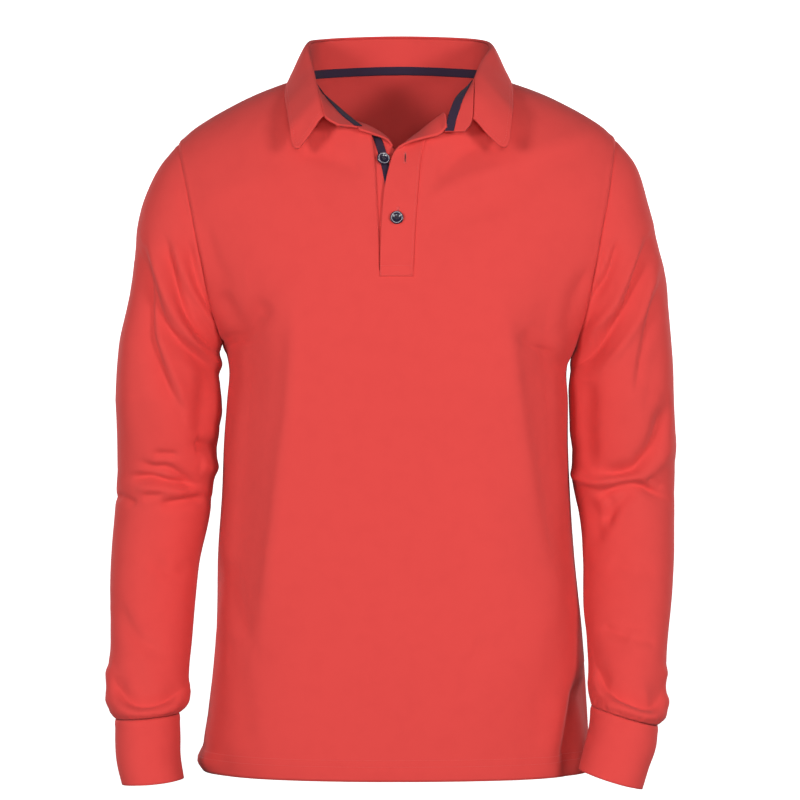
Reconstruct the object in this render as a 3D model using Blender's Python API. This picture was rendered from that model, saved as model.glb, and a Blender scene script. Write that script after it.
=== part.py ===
"""Long-sleeved polo shirt, worn: a hollow garment on a general figure, front towards -Y.

The origin is at the centre of the neck, level with the sides of the neckline.
Lengths below are in millimetres; every mesh is written in metres.
"""
import bpy
import bmesh
import math
import numpy as np
from collections import namedtuple
from mathutils import Matrix, Vector

MM = 0.001
JERSEY = 2.0              # wall of the body and the sleeves
DOUBLE = 2.4              # wall of the two-ply collar, plackets and cuffs
TAPE = 1.0                # wall of the navy tape
SEAM_GAP = 0.34           # between two pieces that are sewn together
ARMPIT_EASE = 1.8         # more of it where four pieces meet under the arm
HEM_Z = -668.0
ARMPIT_Z = {-1: -243.0, 1: -249.0}
SHOULDER_TIP = {-1: (-222.0, 4.0, -44.0), 1: (215.0, 4.0, -40.0)}
NECK_POINT_Z = 22.0
STAND_FOOT = 1.9          # from the neckline seam up to the stand
SIDE_Y = 3.0              # the side seams and shoulder seams lie in this plane
BODY_SQUARE = 2.4         # 2 is an ellipse, more is squarer
RISE_SQUARE = {-1: 2.2, 1: 3.6}
NECK_RISE = {-1: 10.0, 1: 34.0}
ARMHOLE_BULGE = {-1: 62.0, 1: 66.0}
UPPER_ROWS = 11
LOWER_ROWS = 10
PLACKET_C = 0.12          # panel coordinate of the placket's seams
NECK_C = 0.43             # panel coordinate of the neck points
BOX_Z = -176.0            # foot of the placket
BUTTON_PROFILE = [(0, 0.7), (3.4, 0.7), (4.6, 1.4), (5.7, 1.4), (6.5, 0.6), (6.5, -0.5), (5.6, -1.2), (0, -1.2)]
BUTTON_SIDES = 18
BUTTON_LIFT = 1.75        # from the cloth's face to the button's middle
STAND_BUTTON_AT = 0.022   # station of the button on the stand
TAPE_FIRST = 7
TAPE_LAST = 16
TAPE_COLUMNS = [2, 3]
TAPE_EASE = 0.7           # more room behind the tape, which bends less than the stand
NECK_TAPE_HEIGHTS = (2.4, 9.9)
SEAM_INSET = 0.5          # from the panel's seam to the placket's own edge
STRAIGHT_BELOW = -44.0    # under this height a placket's seam follows the panel's
CHEST_TOP_Z = -40.0       # above it the plackets keep the chest's depth here
STRIP_ROWS = 20
ROLL_UP, ROLL_OUT = 11.0, 4.0       # how the leaf leaves the stand
FALL_BACK, FALL_OUT = 22.0, 8.0     # how it comes down to its edge
SLEEVE_GIRTH = 300.0
HEAD_DEEP = 64.0          # half the sleeve's depth at the armhole
LEAN_FROM_Z, LEAN_OVER = -520.0, 90.0
NECK_POINT_X = 95.0
NAPE_RISE = 16.0
NECK_DIP = {-1: 1.12, 1: 0.70}
NECK_POINT_AT = {-1: 0.32, 1: 0.68}   # stations round the collar of the neck points
PLACKET_AT = {-1: 0.04, 1: 0.96}      # and of the front panel's inner corners
RIDGE_SEAM_Z = -10.0

Section = namedtuple("Section", "z left right front back")
BODY = [
    Section(-668, 193, 190, 113, 108),
    Section(-644, 196, 189, 115, 109),
    Section(-608, 191, 187, 117, 109),
    Section(-560, 185, 184, 119, 108),
    Section(-512, 183, 180, 120, 106),
    Section(-452, 182, 174, 120, 104),
    Section(-392, 178, 170, 120, 105),
    Section(-340, 176, 168, 121, 110),
    Section(-300, 173, 168, 123, 117),
    Section(-268, 171, 167, 124, 121),
    Section(-243, 176, 174, 124, 122),
]

ArmholeRow = namedtuple("ArmholeRow", "z left right")
ARMHOLE = [
    ArmholeRow(-249, 176, 174),
    ArmholeRow(-209, 186, 184),
    ArmholeRow(-169, 194, 192),
    ArmholeRow(-130, 202, 199),
    ArmholeRow(-100, 208, 205),
    ArmholeRow(-70, 215, 210),
    ArmholeRow(-40, 222, 215),
]

RidgeRow = namedtuple("RidgeRow", "x z")
RIDGE = [
    RidgeRow(60, 34),
    RidgeRow(95, 22),
    RidgeRow(120, 14),
    RidgeRow(148, 3),
    RidgeRow(172, -9),
    RidgeRow(193, -21),
    RidgeRow(209, -32),
    RidgeRow(222, -44),
]

PlacketRow = namedtuple("PlacketRow", "z left right")
PLACKET_SEAMS = [
    PlacketRow(-668, -20, 12),
    PlacketRow(-176, -20, 12),
    PlacketRow(-130, -21, 14),
    PlacketRow(-90, -23, 17),
    PlacketRow(-60, -25, 20),
    PlacketRow(-30, -28, 27),
]

SleeveRow = namedtuple("SleeveRow", "z x y across deep")
SLEEVE = {
    -1: [
        SleeveRow(-300, -233.0, 4, 50.5, 63),
        SleeveRow(-340, -233.0, 9, 50.0, 59),
        SleeveRow(-380, -235.5, 14, 48.0, 55),
        SleeveRow(-420, -239.0, 15, 47.0, 52),
        SleeveRow(-460, -244.5, 8, 44.0, 49),
        SleeveRow(-500, -247.0, -4, 42.0, 46),
        SleeveRow(-540, -247.5, -20, 39.5, 43),
        SleeveRow(-575, -248.5, -34, 39.0, 42),
        SleeveRow(-590, -247.0, -40, 39.5, 42),
        SleeveRow(-604, -247.5, -45, 36.0, 40),
        SleeveRow(-610, -248.5, -48, 30.5, 35),
    ],
    1: [
        SleeveRow(-300, 223.0, 2, 50.5, 62),
        SleeveRow(-340, 224.0, 4, 51.0, 58),
        SleeveRow(-380, 223.5, 6, 50.5, 55),
        SleeveRow(-420, 227.0, 2, 46.5, 52),
        SleeveRow(-460, 227.5, -12, 44.5, 49),
        SleeveRow(-500, 225.0, -30, 43.0, 46),
        SleeveRow(-540, 223.0, -50, 38.5, 43),
        SleeveRow(-570, 221.5, -64, 36.5, 42),
        SleeveRow(-586, 221.5, -72, 37.5, 42),
        SleeveRow(-598, 221.0, -78, 36.0, 40),
        SleeveRow(-606, 218.5, -82, 31.5, 35),
    ],
}

CuffRow = namedtuple("CuffRow", "step x y z across deep")
CUFF = {
    -1: [
        CuffRow(0.00, -248.5, -48, -611.0, 30.5, 35),
        CuffRow(0.30, -247.5, -55, -631.0, 31.0, 35),
        CuffRow(0.70, -245.5, -63, -653.0, 30.0, 34),
        CuffRow(1.00, -241.0, -69, -672.0, 29.0, 33),
    ],
    1: [
        CuffRow(0.00, 218.3, -82, -607.0, 31.5, 35),
        CuffRow(0.30, 216.0, -88, -626.0, 31.5, 35),
        CuffRow(0.70, 209.0, -95, -648.0, 30.5, 34),
        CuffRow(1.00, 203.5, -100, -666.0, 30.0, 33),
    ],
}
CUFF_TILT = {-1: 5.0, 1: -17.0}      # degrees about Y, from the arm's lean

OuterRow = namedtuple("OuterRow", "step top_x top_z under_x under_z")
SLEEVE_HEAD = {
    -1: [
        OuterRow(0.00, -222, -44, -176, -243),
        OuterRow(0.14, -241, -68, -178.5, -246),
        OuterRow(0.30, -257, -104, -181, -253),
        OuterRow(0.48, -266, -152, -182, -263),
        OuterRow(0.66, -273, -202, -182.5, -275),
        OuterRow(0.84, -280, -254, -182.5, -288),
        OuterRow(1.00, -283.5, -300, -182.5, -300),
    ],
    1: [
        OuterRow(0.00, 215, -40, 174, -249),
        OuterRow(0.14, 235, -66, 175.5, -252),
        OuterRow(0.30, 248, -104, 175, -258),
        OuterRow(0.48, 260, -152, 174, -267),
        OuterRow(0.66, 268, -202, 173, -278),
        OuterRow(0.84, 272, -254, 172.5, -290),
        OuterRow(1.00, 273.5, -300, 172.5, -300),
    ],
}

Fold = namedtuple("Fold", "turn_a down_a turn_b down_b width depth")
FOLDS = {
    -1: [
        Fold(0.02, 0.26, 0.30, 0.10, 9, -3.5),
        Fold(0.03, 0.36, 0.34, 0.18, 10, -4.0),
        Fold(0.05, 0.44, 0.38, 0.24, 11, -4.5),
        Fold(0.36, 0.47, 0.40, 0.22, 9, 3.0),
        Fold(0.10, 0.62, 0.38, 0.60, 8, -3.0),
        Fold(0.02, 0.66, 0.30, 0.69, 8, -3.0),
        Fold(0.70, 0.30, 0.97, 0.42, 12, -4.0),
        Fold(0.66, 0.64, 0.94, 0.62, 9, -3.0),
        Fold(0.10, 0.955, 0.25, 0.985, 8, -2.5),
        Fold(0.25, 0.985, 0.42, 0.945, 8, -2.5),
    ],
    1: [
        Fold(0.02, 0.28, 0.30, 0.08, 9, -3.5),
        Fold(0.03, 0.36, 0.36, 0.14, 10, -4.5),
        Fold(0.10, 0.46, 0.40, 0.24, 10, -3.5),
        Fold(0.04, 0.64, 0.24, 0.645, 9, -3.5),
        Fold(0.24, 0.645, 0.44, 0.54, 9, -3.0),
        Fold(0.08, 0.72, 0.20, 0.74, 9, -4.0),
        Fold(0.20, 0.74, 0.38, 0.69, 8, -3.0),
        Fold(0.70, 0.30, 0.97, 0.44, 12, -4.0),
        Fold(0.68, 0.64, 0.94, 0.66, 9, -3.0),
        Fold(0.10, 0.95, 0.26, 0.985, 8, -2.5),
        Fold(0.26, 0.985, 0.42, 0.955, 8, -2.5),
    ],
}

Station = namedtuple("Station", "at base fold edge")
COLLAR = [
    Station(0.000, (-40, -94, -36), (-60, -109, -33), None),
    Station(0.045, (-54, -84, -24), (-73, -105, -22), (-96, -112, -57)),
    Station(0.085, (-65, -73, -13), (-77, -95, -12), (-105, -104, -46)),
    Station(0.150, (-76, -56, -1), (-81, -76, 4), (-111, -84, -26)),
    Station(0.230, (-87, -28, 12), (-86, -44, 26), (-115, -46, 0)),
    Station(0.320, (-95, 3, 22), (-91, -6, 52), (-116, -2, 21)),
    Station(0.410, (-74, 54, 31), (-75, 46, 64), (-98, 62, 25)),
    Station(0.500, (0, 82, 37), (0, 74, 70), (0, 96, 27)),
    Station(0.590, (72, 54, 31), (75, 46, 64), (97, 62, 25)),
    Station(0.680, (92, 3, 22), (90, -6, 50), (114, -2, 22)),
    Station(0.770, (86, -28, 12), (83, -40, 32), (115, -44, 4)),
    Station(0.850, (74, -56, 0), (76, -68, 12), (112, -82, -20)),
    Station(0.915, (60, -76, -9), (73, -88, -6), (108, -102, -45)),
    Station(0.955, (49, -90, -13), (71, -100, -23), (99, -109, -58)),
    Station(1.000, (45, -102, -34), (62, -107, -34), None),
]
LEAF_START = 0.045
LEAF_END = 0.955
LEAF_GAP = 0.9            # from the top of the stand to the leaf
COLLAR_STEPS = 38

NeckRow = namedtuple("NeckRow", "at point")
NECKLINE_FRONT = [
    NeckRow(0.04, (-28, -89, -38)),
    NeckRow(0.10, (-52, -79, -26)),
    NeckRow(0.16, (-72, -60, -7)),
    NeckRow(0.84, (70, -62, -7)),
    NeckRow(0.90, (51, -80, -25)),
    NeckRow(0.96, (27, -89, -38)),
]

StripRow = namedtuple("StripRow", "seam roll free")
PLACKET_TOP = [
    StripRow((11.6, 0, -175.4), (-4, 0, -175.4), (-19.5, 0, -175.4)),
    StripRow((13.2, 0, -140.0), (-2.5, 0, -140.0), (-18.5, 0, -140.0)),
    StripRow((15.5, 0, -105.0), (0, 0, -104.0), (-16, 0, -103.0)),
    StripRow((17.8, 0, -80.0), (3, 1, -79.0), (-11.5, 1, -78.0)),
    StripRow((20.0, 0, -62.0), (7, 3, -60.0), (-5, 1, -59.0)),
    StripRow((21.8, 0, -50.0), (9, 6, -47.0), (8, -5, -51.0)),
    StripRow((24.0, 2.5, -43.0), (23, 7, -33.0), (23, -9, -47.0)),
    StripRow((29.5, 8, -41.0), (37, 4, -21.0), (38, -11, -43.5)),
    StripRow((35.0, 11, -38.0), (44.5, 0, -13.5), (45.0, -14, -36.5)),
]
PLACKET_UNDER = [
    StripRow((-19.4, 0, -174.0), (-5, 0, -174.0), (10, 0, -174.0)),
    StripRow((-20.5, 0, -140.0), (-6, 0, -140.0), (9, 0, -140.0)),
    StripRow((-22.0, 0, -105.0), (-8, 1, -104.0), (6, 2, -103.0)),
    StripRow((-23.5, 0, -82.0), (-10, 4, -81.0), (3, 8, -80.0)),
    StripRow((-24.8, 0, -65.0), (-13, 5, -63.0), (-4, 11, -61.0)),
    StripRow((-26.0, 2, -53.0), (-17, 8, -48.0), (-12, 1, -48.0)),
    StripRow((-28.0, 7, -44.0), (-29, 6, -30.0), (-27, -9, -42.5)),
    StripRow((-33.0, 14, -42.0), (-45, 8, -18.0), (-39.5, -10, -38.5)),
]
PLACKET_LAYER = {"under": -2.5, "top": 0.6}    # how far each strip stands out of the panel
STRIP_STEPS = (0.0, 0.18, 0.4, 0.6, 0.82, 1.0)
RED = (0.76, 0.065, 0.058, 1)
NAVY = (0.018, 0.017, 0.050, 1)
KNIT_ROUGHNESS = 0.85
TAPE_ROUGHNESS = 0.8
BUTTON_ROUGHNESS = 0.25


def smooth(rows, key, column, value):
    """Cubic curve through one column of a table, read at a value of its key."""
    xs = [getattr(row, key) for row in rows]
    ys = [getattr(row, column) for row in rows]
    value = min(max(value, min(xs)), max(xs))
    if xs[0] > xs[-1]:
        xs, ys = xs[::-1], ys[::-1]
    i = min(max(int(np.searchsorted(xs, value)) - 1, 0), len(xs) - 2)
    slopes = np.gradient(np.array(ys, float), np.array(xs, float))
    span = xs[i + 1] - xs[i]
    t = (value - xs[i]) / span
    low = (1 + 2 * t) * (1 - t) ** 2 * ys[i] + t * (1 - t) ** 2 * span * slopes[i]
    high = t * t * (3 - 2 * t) * ys[i + 1] - t * t * (1 - t) * span * slopes[i + 1]
    return float(low + high)


def smooth_point(keys, points, value):
    """Cubic curve through points in space, read at a value of their keys."""
    pts = np.array(points, float)
    keys = np.array(keys, float)
    value = min(max(value, keys[0]), keys[-1])
    i = min(max(int(np.searchsorted(keys, value)) - 1, 0), len(keys) - 2)
    slopes = np.gradient(pts, keys, axis=0)
    span = keys[i + 1] - keys[i]
    t = (value - keys[i]) / span
    low = (1 + 2 * t) * (1 - t) ** 2 * pts[i] + t * (1 - t) ** 2 * span * slopes[i]
    high = t * t * (3 - 2 * t) * pts[i + 1] - t * t * (1 - t) * span * slopes[i + 1]
    return low + high


def unit(vectors):
    size = np.linalg.norm(vectors, axis=-1, keepdims=True)
    return vectors / np.maximum(size, 1e-9)


def lerp(a, b, t):
    return a + (b - a) * t


# ---- body panels -------------------------------------------------------------------

def placket_seam(which, z):
    """x of the placket's seam on the front; the back has the same columns."""
    return smooth(PLACKET_SEAMS, "z", which, z)


def panel_x(c, z, left, right):
    """x across a panel, from its coordinate c: -1 is the left edge and 1 the right."""
    seam_left = placket_seam("left", z)
    seam_right = placket_seam("right", z)
    if c < -PLACKET_C:
        return lerp(seam_left, -left, (-c - PLACKET_C) / (1 - PLACKET_C))
    if c > PLACKET_C:
        return lerp(seam_right, right, (c - PLACKET_C) / (1 - PLACKET_C))
    return lerp(seam_left, seam_right, (c + PLACKET_C) / (2 * PLACKET_C))


def lower_point(side, c, level):
    """Point below the armpits; level runs from 0 at the hem to 1 at the armpits."""
    armpit = lerp(ARMPIT_Z[-1], ARMPIT_Z[1], (c + 1) / 2)
    z = lerp(HEM_Z, armpit, level)
    left = smooth(BODY, "z", "left", z)
    right = smooth(BODY, "z", "right", z)
    if level == 1:
        left = -armhole_x(-1, ARMPIT_Z[-1])
        right = armhole_x(1, ARMPIT_Z[1])
    x = panel_x(c, z, left, right)
    middle = (right - left) / 2
    f = min(abs(x - middle) / ((left + right) / 2), 1.0)
    depth = smooth(BODY, "z", "front" if side < 0 else "back", z)
    return (x, SIDE_Y + side * depth * (1 - f ** BODY_SQUARE) ** (1 / BODY_SQUARE), z)


def armhole_x(hand, z):
    return hand * smooth(ARMHOLE, "z", "left" if hand < 0 else "right", z)


def armhole_point(side, hand, phi):
    """Edge of the armhole: phi is 0 at the armpit and pi at the shoulder tip."""
    s = (1 - math.cos(phi)) / 2
    z = lerp(ARMPIT_Z[hand], SHOULDER_TIP[hand][2], s)
    return (armhole_x(hand, z), SIDE_Y + side * ARMHOLE_BULGE[side] * math.sin(phi), z)


def ridge_z(side, x):
    """Height of the shoulder line; between the neck points it is the height it would reach."""
    width = SHOULDER_TIP[1][0] - NECK_POINT_X
    drop = (SHOULDER_TIP[1][2] - SHOULDER_TIP[-1][2]) * max(0.0, (x - NECK_POINT_X) / width)
    reach = abs(x) * (SHOULDER_TIP[-1][0] / -SHOULDER_TIP[1][0] if x > 0 else 1)
    if reach < NECK_POINT_X:
        inside = 1 - (reach / NECK_POINT_X) ** 2
        return NECK_POINT_Z + NAPE_RISE * inside + NECK_RISE[side] * inside ** 2
    return smooth(RIDGE, "x", "z", reach) + drop


def neck_phi(side, c):
    """How far round its rise a column goes: all the way to the ridge, or to the neckline."""
    if abs(c) >= NECK_C:
        return math.pi
    dip = (1 - (abs(c) / NECK_C) ** 3) ** 1.4
    return math.pi - dip * NECK_DIP[side]


def neckline_point(side, c):
    """Neckline seam: front from the neck point to the placket, back through the nape."""
    if side > 0:
        return seam_at(lerp(NECK_POINT_AT[-1], NECK_POINT_AT[1], (c + NECK_C) / (2 * NECK_C)))
    reach = (NECK_C - max(abs(c), PLACKET_C)) / (NECK_C - PLACKET_C)
    if c < 0:
        return seam_at(lerp(NECK_POINT_AT[-1], PLACKET_AT[-1], reach))
    return seam_at(lerp(NECK_POINT_AT[1], PLACKET_AT[1], reach))


def seam_at(at):
    """A point of the neckline seam, by its station round the collar."""
    stand = [row for row in COLLAR if 0.2 < row.at < 0.8]
    keys = [row.at for row in NECKLINE_FRONT[:3]] + [row.at for row in stand]
    keys += [row.at for row in NECKLINE_FRONT[3:]]
    points = [row.point for row in NECKLINE_FRONT[:3]] + [row.base for row in stand]
    points += [row.point for row in NECKLINE_FRONT[3:]]
    return smooth_point(keys, points, at)


def upper_point(side, c, rise):
    """Point above the armpits; rise runs from 0 at the armpits to 1 at the top edge."""
    phi = neck_phi(side, c) * rise
    point = rise_point(side, c, phi)
    if abs(c) >= NECK_C:
        return point
    top = np.array(rise_point(side, c, neck_phi(side, c)))
    shift = np.array(neckline_point(side, c)) - top
    return tuple(np.array(point) + shift * rise ** 5)


def rise_point(side, c, phi):
    s = (1 - math.cos(phi)) / 2
    left = armhole_point(side, -1, phi)
    right = armhole_point(side, 1, phi)
    top_x = panel_x(c, RIDGE_SEAM_Z, -SHOULDER_TIP[-1][0], SHOULDER_TIP[1][0])
    armpit = lerp(ARMPIT_Z[-1], ARMPIT_Z[1], (c + 1) / 2)
    z = lerp(armpit, ridge_z(side, top_x), s)
    x = panel_x(c, z, -left[0], right[0])
    if abs(c) == 1:
        return left if c < 0 else right
    depth = smooth(BODY, "z", "front" if side < 0 else "back", armpit)
    square = RISE_SQUARE[side]
    centre = depth * (1 - s ** square) ** 0.5
    middle = (right[0] + left[0]) / 2
    f = min(abs(x - middle) / ((right[0] - left[0]) / 2), 1.0)
    rounded = math.sin(phi)
    if phi < math.pi / 2:
        rounded = lerp(rounded ** 2, rounded, f ** 16)
    edge = ARMHOLE_BULGE[side] * rounded
    flat = lerp(BODY_SQUARE, 1.25, math.sin(min(phi, math.pi / 2)) ** 1.5)
    return (x, SIDE_Y + side * (edge + (centre - edge) * (1 - f ** BODY_SQUARE) ** (1 / flat)), z)


def panel_columns():
    inner = [0.0, PLACKET_C, 0.20, 0.28, 0.35, 0.40, NECK_C]
    outer = [0.52, 0.64, 0.76, 0.86, 0.93, 0.98, 1.0]
    half = inner + outer
    return [-c for c in half[:0:-1]] + half


def panel_grid(side):
    """Mid-surface of the front (side -1) or the back (side 1), hem row first."""
    columns = panel_columns()
    rows = []
    for level in lower_levels():
        rows.append([lower_point(side, c, level) for c in columns])
    for k in range(1, UPPER_ROWS + 1):
        rows.append([upper_point(side, c, k / UPPER_ROWS) for c in columns])
    grid = np.array([[tuple(p) for p in row] for row in rows])
    if side < 0:
        foot = box_row(grid)
        for i, c in enumerate(columns):
            if abs(c) <= PLACKET_C:
                grid[foot, i] = point_at_height(c, BOX_Z)
    return grid


def box_row(grid):
    """Row of the front panel that lies at the foot of the placket."""
    middle = panel_columns().index(0.0)
    return int(np.argmin(abs(grid[:, middle, 2] - BOX_Z)))


def point_at_height(c, z):
    """Point of the front panel's column c at a height above the armpits."""
    low, high = 0.0, 1.0
    for step in range(26):
        rise = (low + high) / 2
        if upper_point(-1, c, rise)[2] < z:
            low = rise
        else:
            high = rise
    return upper_point(-1, c, (low + high) / 2)


def lower_levels():
    """Rows from hem to armpit, closer together under the arm where the side curves in."""
    even = [i / LOWER_ROWS for i in range(LOWER_ROWS)]
    return even + [0.945, 0.975, 1.0]


def grid_normals(grid, closed=False):
    """Unit normals of a grid of points, from the directions along its rows and columns."""
    along = np.gradient(grid, axis=0)
    if closed:
        across = (np.roll(grid, -1, axis=1) - np.roll(grid, 1, axis=1)) / 2
    else:
        across = np.gradient(grid, axis=1)
    return unit(np.cross(across, along))


# ---- sleeves ---------------------------------------------------------------------

def sleeve_ring_shape(turn):
    """Cosine and sine of a ring's turn: 0 is under the arm, a quarter is the front."""
    return math.cos(turn * 2 * math.pi), math.sin(turn * 2 * math.pi)


def head_ring(hand, step, turns):
    """Ring between the armhole (step 0) and the upper arm (step 1)."""
    top = np.array([smooth(SLEEVE_HEAD[hand], "step", "top_x", step), SHOULDER_TIP[hand][1],
                    smooth(SLEEVE_HEAD[hand], "step", "top_z", step)])
    under = np.array([smooth(SLEEVE_HEAD[hand], "step", "under_x", step), SHOULDER_TIP[hand][1],
                      smooth(SLEEVE_HEAD[hand], "step", "under_z", step)])
    deep = lerp(HEAD_DEEP, SLEEVE[hand][0].deep, step)
    ring = []
    for turn in turns:
        cosine, sine = sleeve_ring_shape(turn)
        centre = (top + under) / 2
        point = centre + (under - top) / 2 * cosine
        point[1] = lerp(SHOULDER_TIP[hand][1], SLEEVE[hand][0].y, step) - deep * sine
        ring.append(point)
    return np.array(ring)


def armhole_ring(hand):
    """The armhole's points in the order of a sleeve ring: armpit, front, tip, back."""
    ring = []
    for k in range(UPPER_ROWS + 1):
        ring.append(armhole_point(-1, hand, math.pi * k / UPPER_ROWS))
    for k in range(UPPER_ROWS - 1, 0, -1):
        ring.append(armhole_point(1, hand, math.pi * k / UPPER_ROWS))
    return np.array(ring)


def arm_ring(hand, z, turns):
    """Ring of the arm below the sleeve head, tilted a little to the arm's lean."""
    rows = SLEEVE[hand]
    centre = np.array([smooth(rows, "z", "x", z), smooth(rows, "z", "y", z), z])
    across = smooth(rows, "z", "across", z)
    deep = smooth(rows, "z", "deep", z)
    lean = math.tan(math.radians(CUFF_TILT[hand])) * max(0.0, (LEAN_FROM_Z - z) / LEAN_OVER)
    ring = []
    for turn in turns:
        cosine, sine = sleeve_ring_shape(turn)
        x = -hand * across * cosine
        ring.append(centre + np.array([x, -deep * sine, x * lean]))
    return np.array(ring)


def sleeve_grid(hand):
    """Mid-surface of a sleeve, from the armhole down to the cuff."""
    count = 2 * UPPER_ROWS
    turns = [i / count for i in range(count)]
    first = armhole_ring(hand)
    plain = head_ring(hand, 0.0, turns)
    steps = [0.0, 0.035, 0.12, 0.24, 0.38, 0.54, 0.70, 0.86]
    rings = []
    for step in steps:
        fade = (1 - step) ** 3
        rings.append(head_ring(hand, step, turns) + (first - plain) * fade)
    zs = [-300, -322, -344, -366, -388, -408, -426, -444, -462, -482, -504, -528, -550, -570, -584]
    end = SLEEVE[hand][-1].z
    zs += [lerp(-584, end, 0.45), lerp(-584, end, 0.8), end]
    for z in zs:
        rings.append(arm_ring(hand, z, turns))
    return fold_sleeve(hand, np.array(rings), turns)


def fold_sleeve(hand, grid, turns):
    """Push the sleeve in and out along its folds; ends and seams stay where they are."""
    normals = grid_normals(grid, closed=True) * hand * -1
    normals = outward(grid, normals)
    lengths = np.linalg.norm(np.diff(grid, axis=0), axis=2).mean(axis=1)
    down = np.concatenate([[0], np.cumsum(lengths)])
    total = down[-1]
    shaped = grid.copy()
    for r in range(1, len(grid) - 1):
        for i, turn in enumerate(turns):
            under = min(turn, 1 - turn)
            guard = min(1.0, down[r] / (30 + 90 * max(0.0, 1 - under / 0.15)), (total - down[r]) / 12)
            push = 0.0
            for fold in FOLDS[hand]:
                push += fold.depth * fold_weight(fold, turn, down[r] / total, total)
            shaped[r, i] += normals[r, i] * push * guard
    return shaped


def fold_weight(fold, turn, level, total):
    """1 on the line of a fold, falling to 0 over its width and towards its ends."""
    ax, ay = fold.turn_a * SLEEVE_GIRTH, fold.down_a * total
    bx, by = fold.turn_b * SLEEVE_GIRTH, fold.down_b * total
    px, py = turn * SLEEVE_GIRTH, level * total
    length = (bx - ax) ** 2 + (by - ay) ** 2
    t = ((px - ax) * (bx - ax) + (py - ay) * (by - ay)) / length
    t = min(max(t, 0.0), 1.0)
    gap = math.hypot(px - lerp(ax, bx, t), py - lerp(ay, by, t))
    return math.exp(-(gap / fold.width) ** 2) * (0.45 + 0.55 * math.sin(math.pi * min(t + 0.25, 1.0)))


def outward(grid, normals):
    """Turn normals of a tube away from the centre of each ring."""
    centre = grid.mean(axis=1, keepdims=True)
    facing = np.sum(normals * (grid - centre), axis=2, keepdims=True)
    return normals * np.where(facing < 0, -1, 1)


def cuff_grid(hand):
    count = 2 * UPPER_ROWS
    turns = [i / count for i in range(count)]
    rings = []
    tilt = math.tan(math.radians(CUFF_TILT[hand]))
    for step in (0.0, 0.35, 0.7, 1.0):
        row = {name: smooth(CUFF[hand], "step", name, step) for name in CuffRow._fields}
        ring = []
        for turn in turns:
            cosine, sine = sleeve_ring_shape(turn)
            x = -hand * row["across"] * cosine
            ring.append((row["x"] + x, row["y"] - row["deep"] * sine, row["z"] + x * tilt))
        rings.append(ring)
    return np.array(rings)


# ---- collar and plackets ------------------------------------------------------------

def collar_row(at):
    """Base, fold and leaf edge of the collar at a station, as points in space."""
    keys = [row.at for row in COLLAR]
    base = smooth_point(keys, [row.base for row in COLLAR], at)
    fold = smooth_point(keys, [row.fold for row in COLLAR], at)
    leaf = [row for row in COLLAR if row.edge is not None]
    edge = smooth_point([row.at for row in leaf], [row.edge for row in leaf], at)
    return base, fold, edge


def stand_grid():
    rows = []
    for i in range(COLLAR_STEPS + 1):
        base, fold, edge = collar_row(i / COLLAR_STEPS)
        rise = unit(fold - base)
        rows.append([lerp(base, fold, t) + rise * STAND_FOOT * (1 - t) for t in (0.0, 0.5, 1.0)])
    return np.array(rows).transpose(1, 0, 2)


def leaf_grid():
    """The leaf leaves the top of the stand, rolls outward and falls to its edge."""
    rows = []
    steps = COLLAR_STEPS - 4
    for i in range(steps + 1):
        base, fold, edge = collar_row(lerp(LEAF_START, LEAF_END, i / steps))
        rise = unit(fold - base)
        away = unit(edge - fold)
        out = unit(away - rise * np.dot(away, rise))
        first = fold + rise * LEAF_GAP
        second = first + rise * ROLL_UP + out * ROLL_OUT
        third = edge - away * FALL_BACK + out * FALL_OUT
        row = []
        for t in (0.0, 0.10, 0.22, 0.36, 0.55, 0.78, 1.0):
            row.append((1 - t) ** 3 * first + 3 * t * (1 - t) ** 2 * second
                       + 3 * t * t * (1 - t) * third + t ** 3 * edge)
        rows.append(row)
    return np.array(rows).transpose(1, 0, 2)


def leaf_normals(grid):
    """Normals of the leaf; its top row keeps the stand's own direction."""
    normals = grid_normals(grid)
    columns = grid.shape[1]
    for i in range(columns):
        at = lerp(LEAF_START, LEAF_END, i / (columns - 1))
        normals[0, i] = stand_normal(at) * np.sign(np.dot(stand_normal(at), normals[0, i]))
    return normals


def stand_normal(at):
    """Way out of the stand's wall at a station."""
    base, fold, edge = collar_row(at)
    ahead = collar_row(min(at + 0.01, 1.0))[0] - collar_row(max(at - 0.01, 0.0))[0]
    return unit(np.cross(unit(fold - base), unit(ahead)))


def neck_tape_grid():
    """Navy tape on the inside of the stand, just over the neckline seam."""
    rows = []
    last = COLLAR_STEPS
    for i in range(last + 1):
        base, fold, edge = collar_row(i / last)
        ahead = collar_row(min(i + 1, last) / last)[0] - collar_row(max(i - 1, 0) / last)[0]
        rise = unit(fold - base)
        inward = unit(np.cross(unit(ahead), rise))
        offset = inward * (DOUBLE / 2 + SEAM_GAP + TAPE / 2 + TAPE_EASE)
        rows.append([base + rise * height + offset for height in NECK_TAPE_HEIGHTS])
    return np.array(rows).transpose(1, 0, 2)


def chest_y(z):
    """y of the front panel's mid-surface beside the placket, at a height."""
    return point_at_height(PLACKET_C, min(z, CHEST_TOP_Z))[1]


def strip_grid(table, layer):
    """A placket: each row runs from its seam over its roll to its free edge."""
    keys = [i / (len(table) - 1) for i in range(len(table))]
    rows = []
    for i in range(STRIP_ROWS + 1):
        at = i / STRIP_ROWS
        seam = smooth_point(keys, [row.seam for row in table], at)
        roll = smooth_point(keys, [row.roll for row in table], at)
        free = smooth_point(keys, [row.free for row in table], at)
        if seam[2] < STRAIGHT_BELOW:
            which = "right" if seam[0] > 0 else "left"
            inward = -1 if seam[0] > 0 else 1
            seam[0] = placket_seam(which, seam[2]) + inward * SEAM_INSET
        for point in (seam, roll, free):
            point[1] += chest_y(point[2]) - layer
        control = 2 * roll - (seam + free) / 2
        row = []
        for t in STRIP_STEPS:
            row.append((1 - t) ** 2 * seam + 2 * t * (1 - t) * control + t * t * free)
        rows.append(row)
    return np.array(rows)


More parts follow.
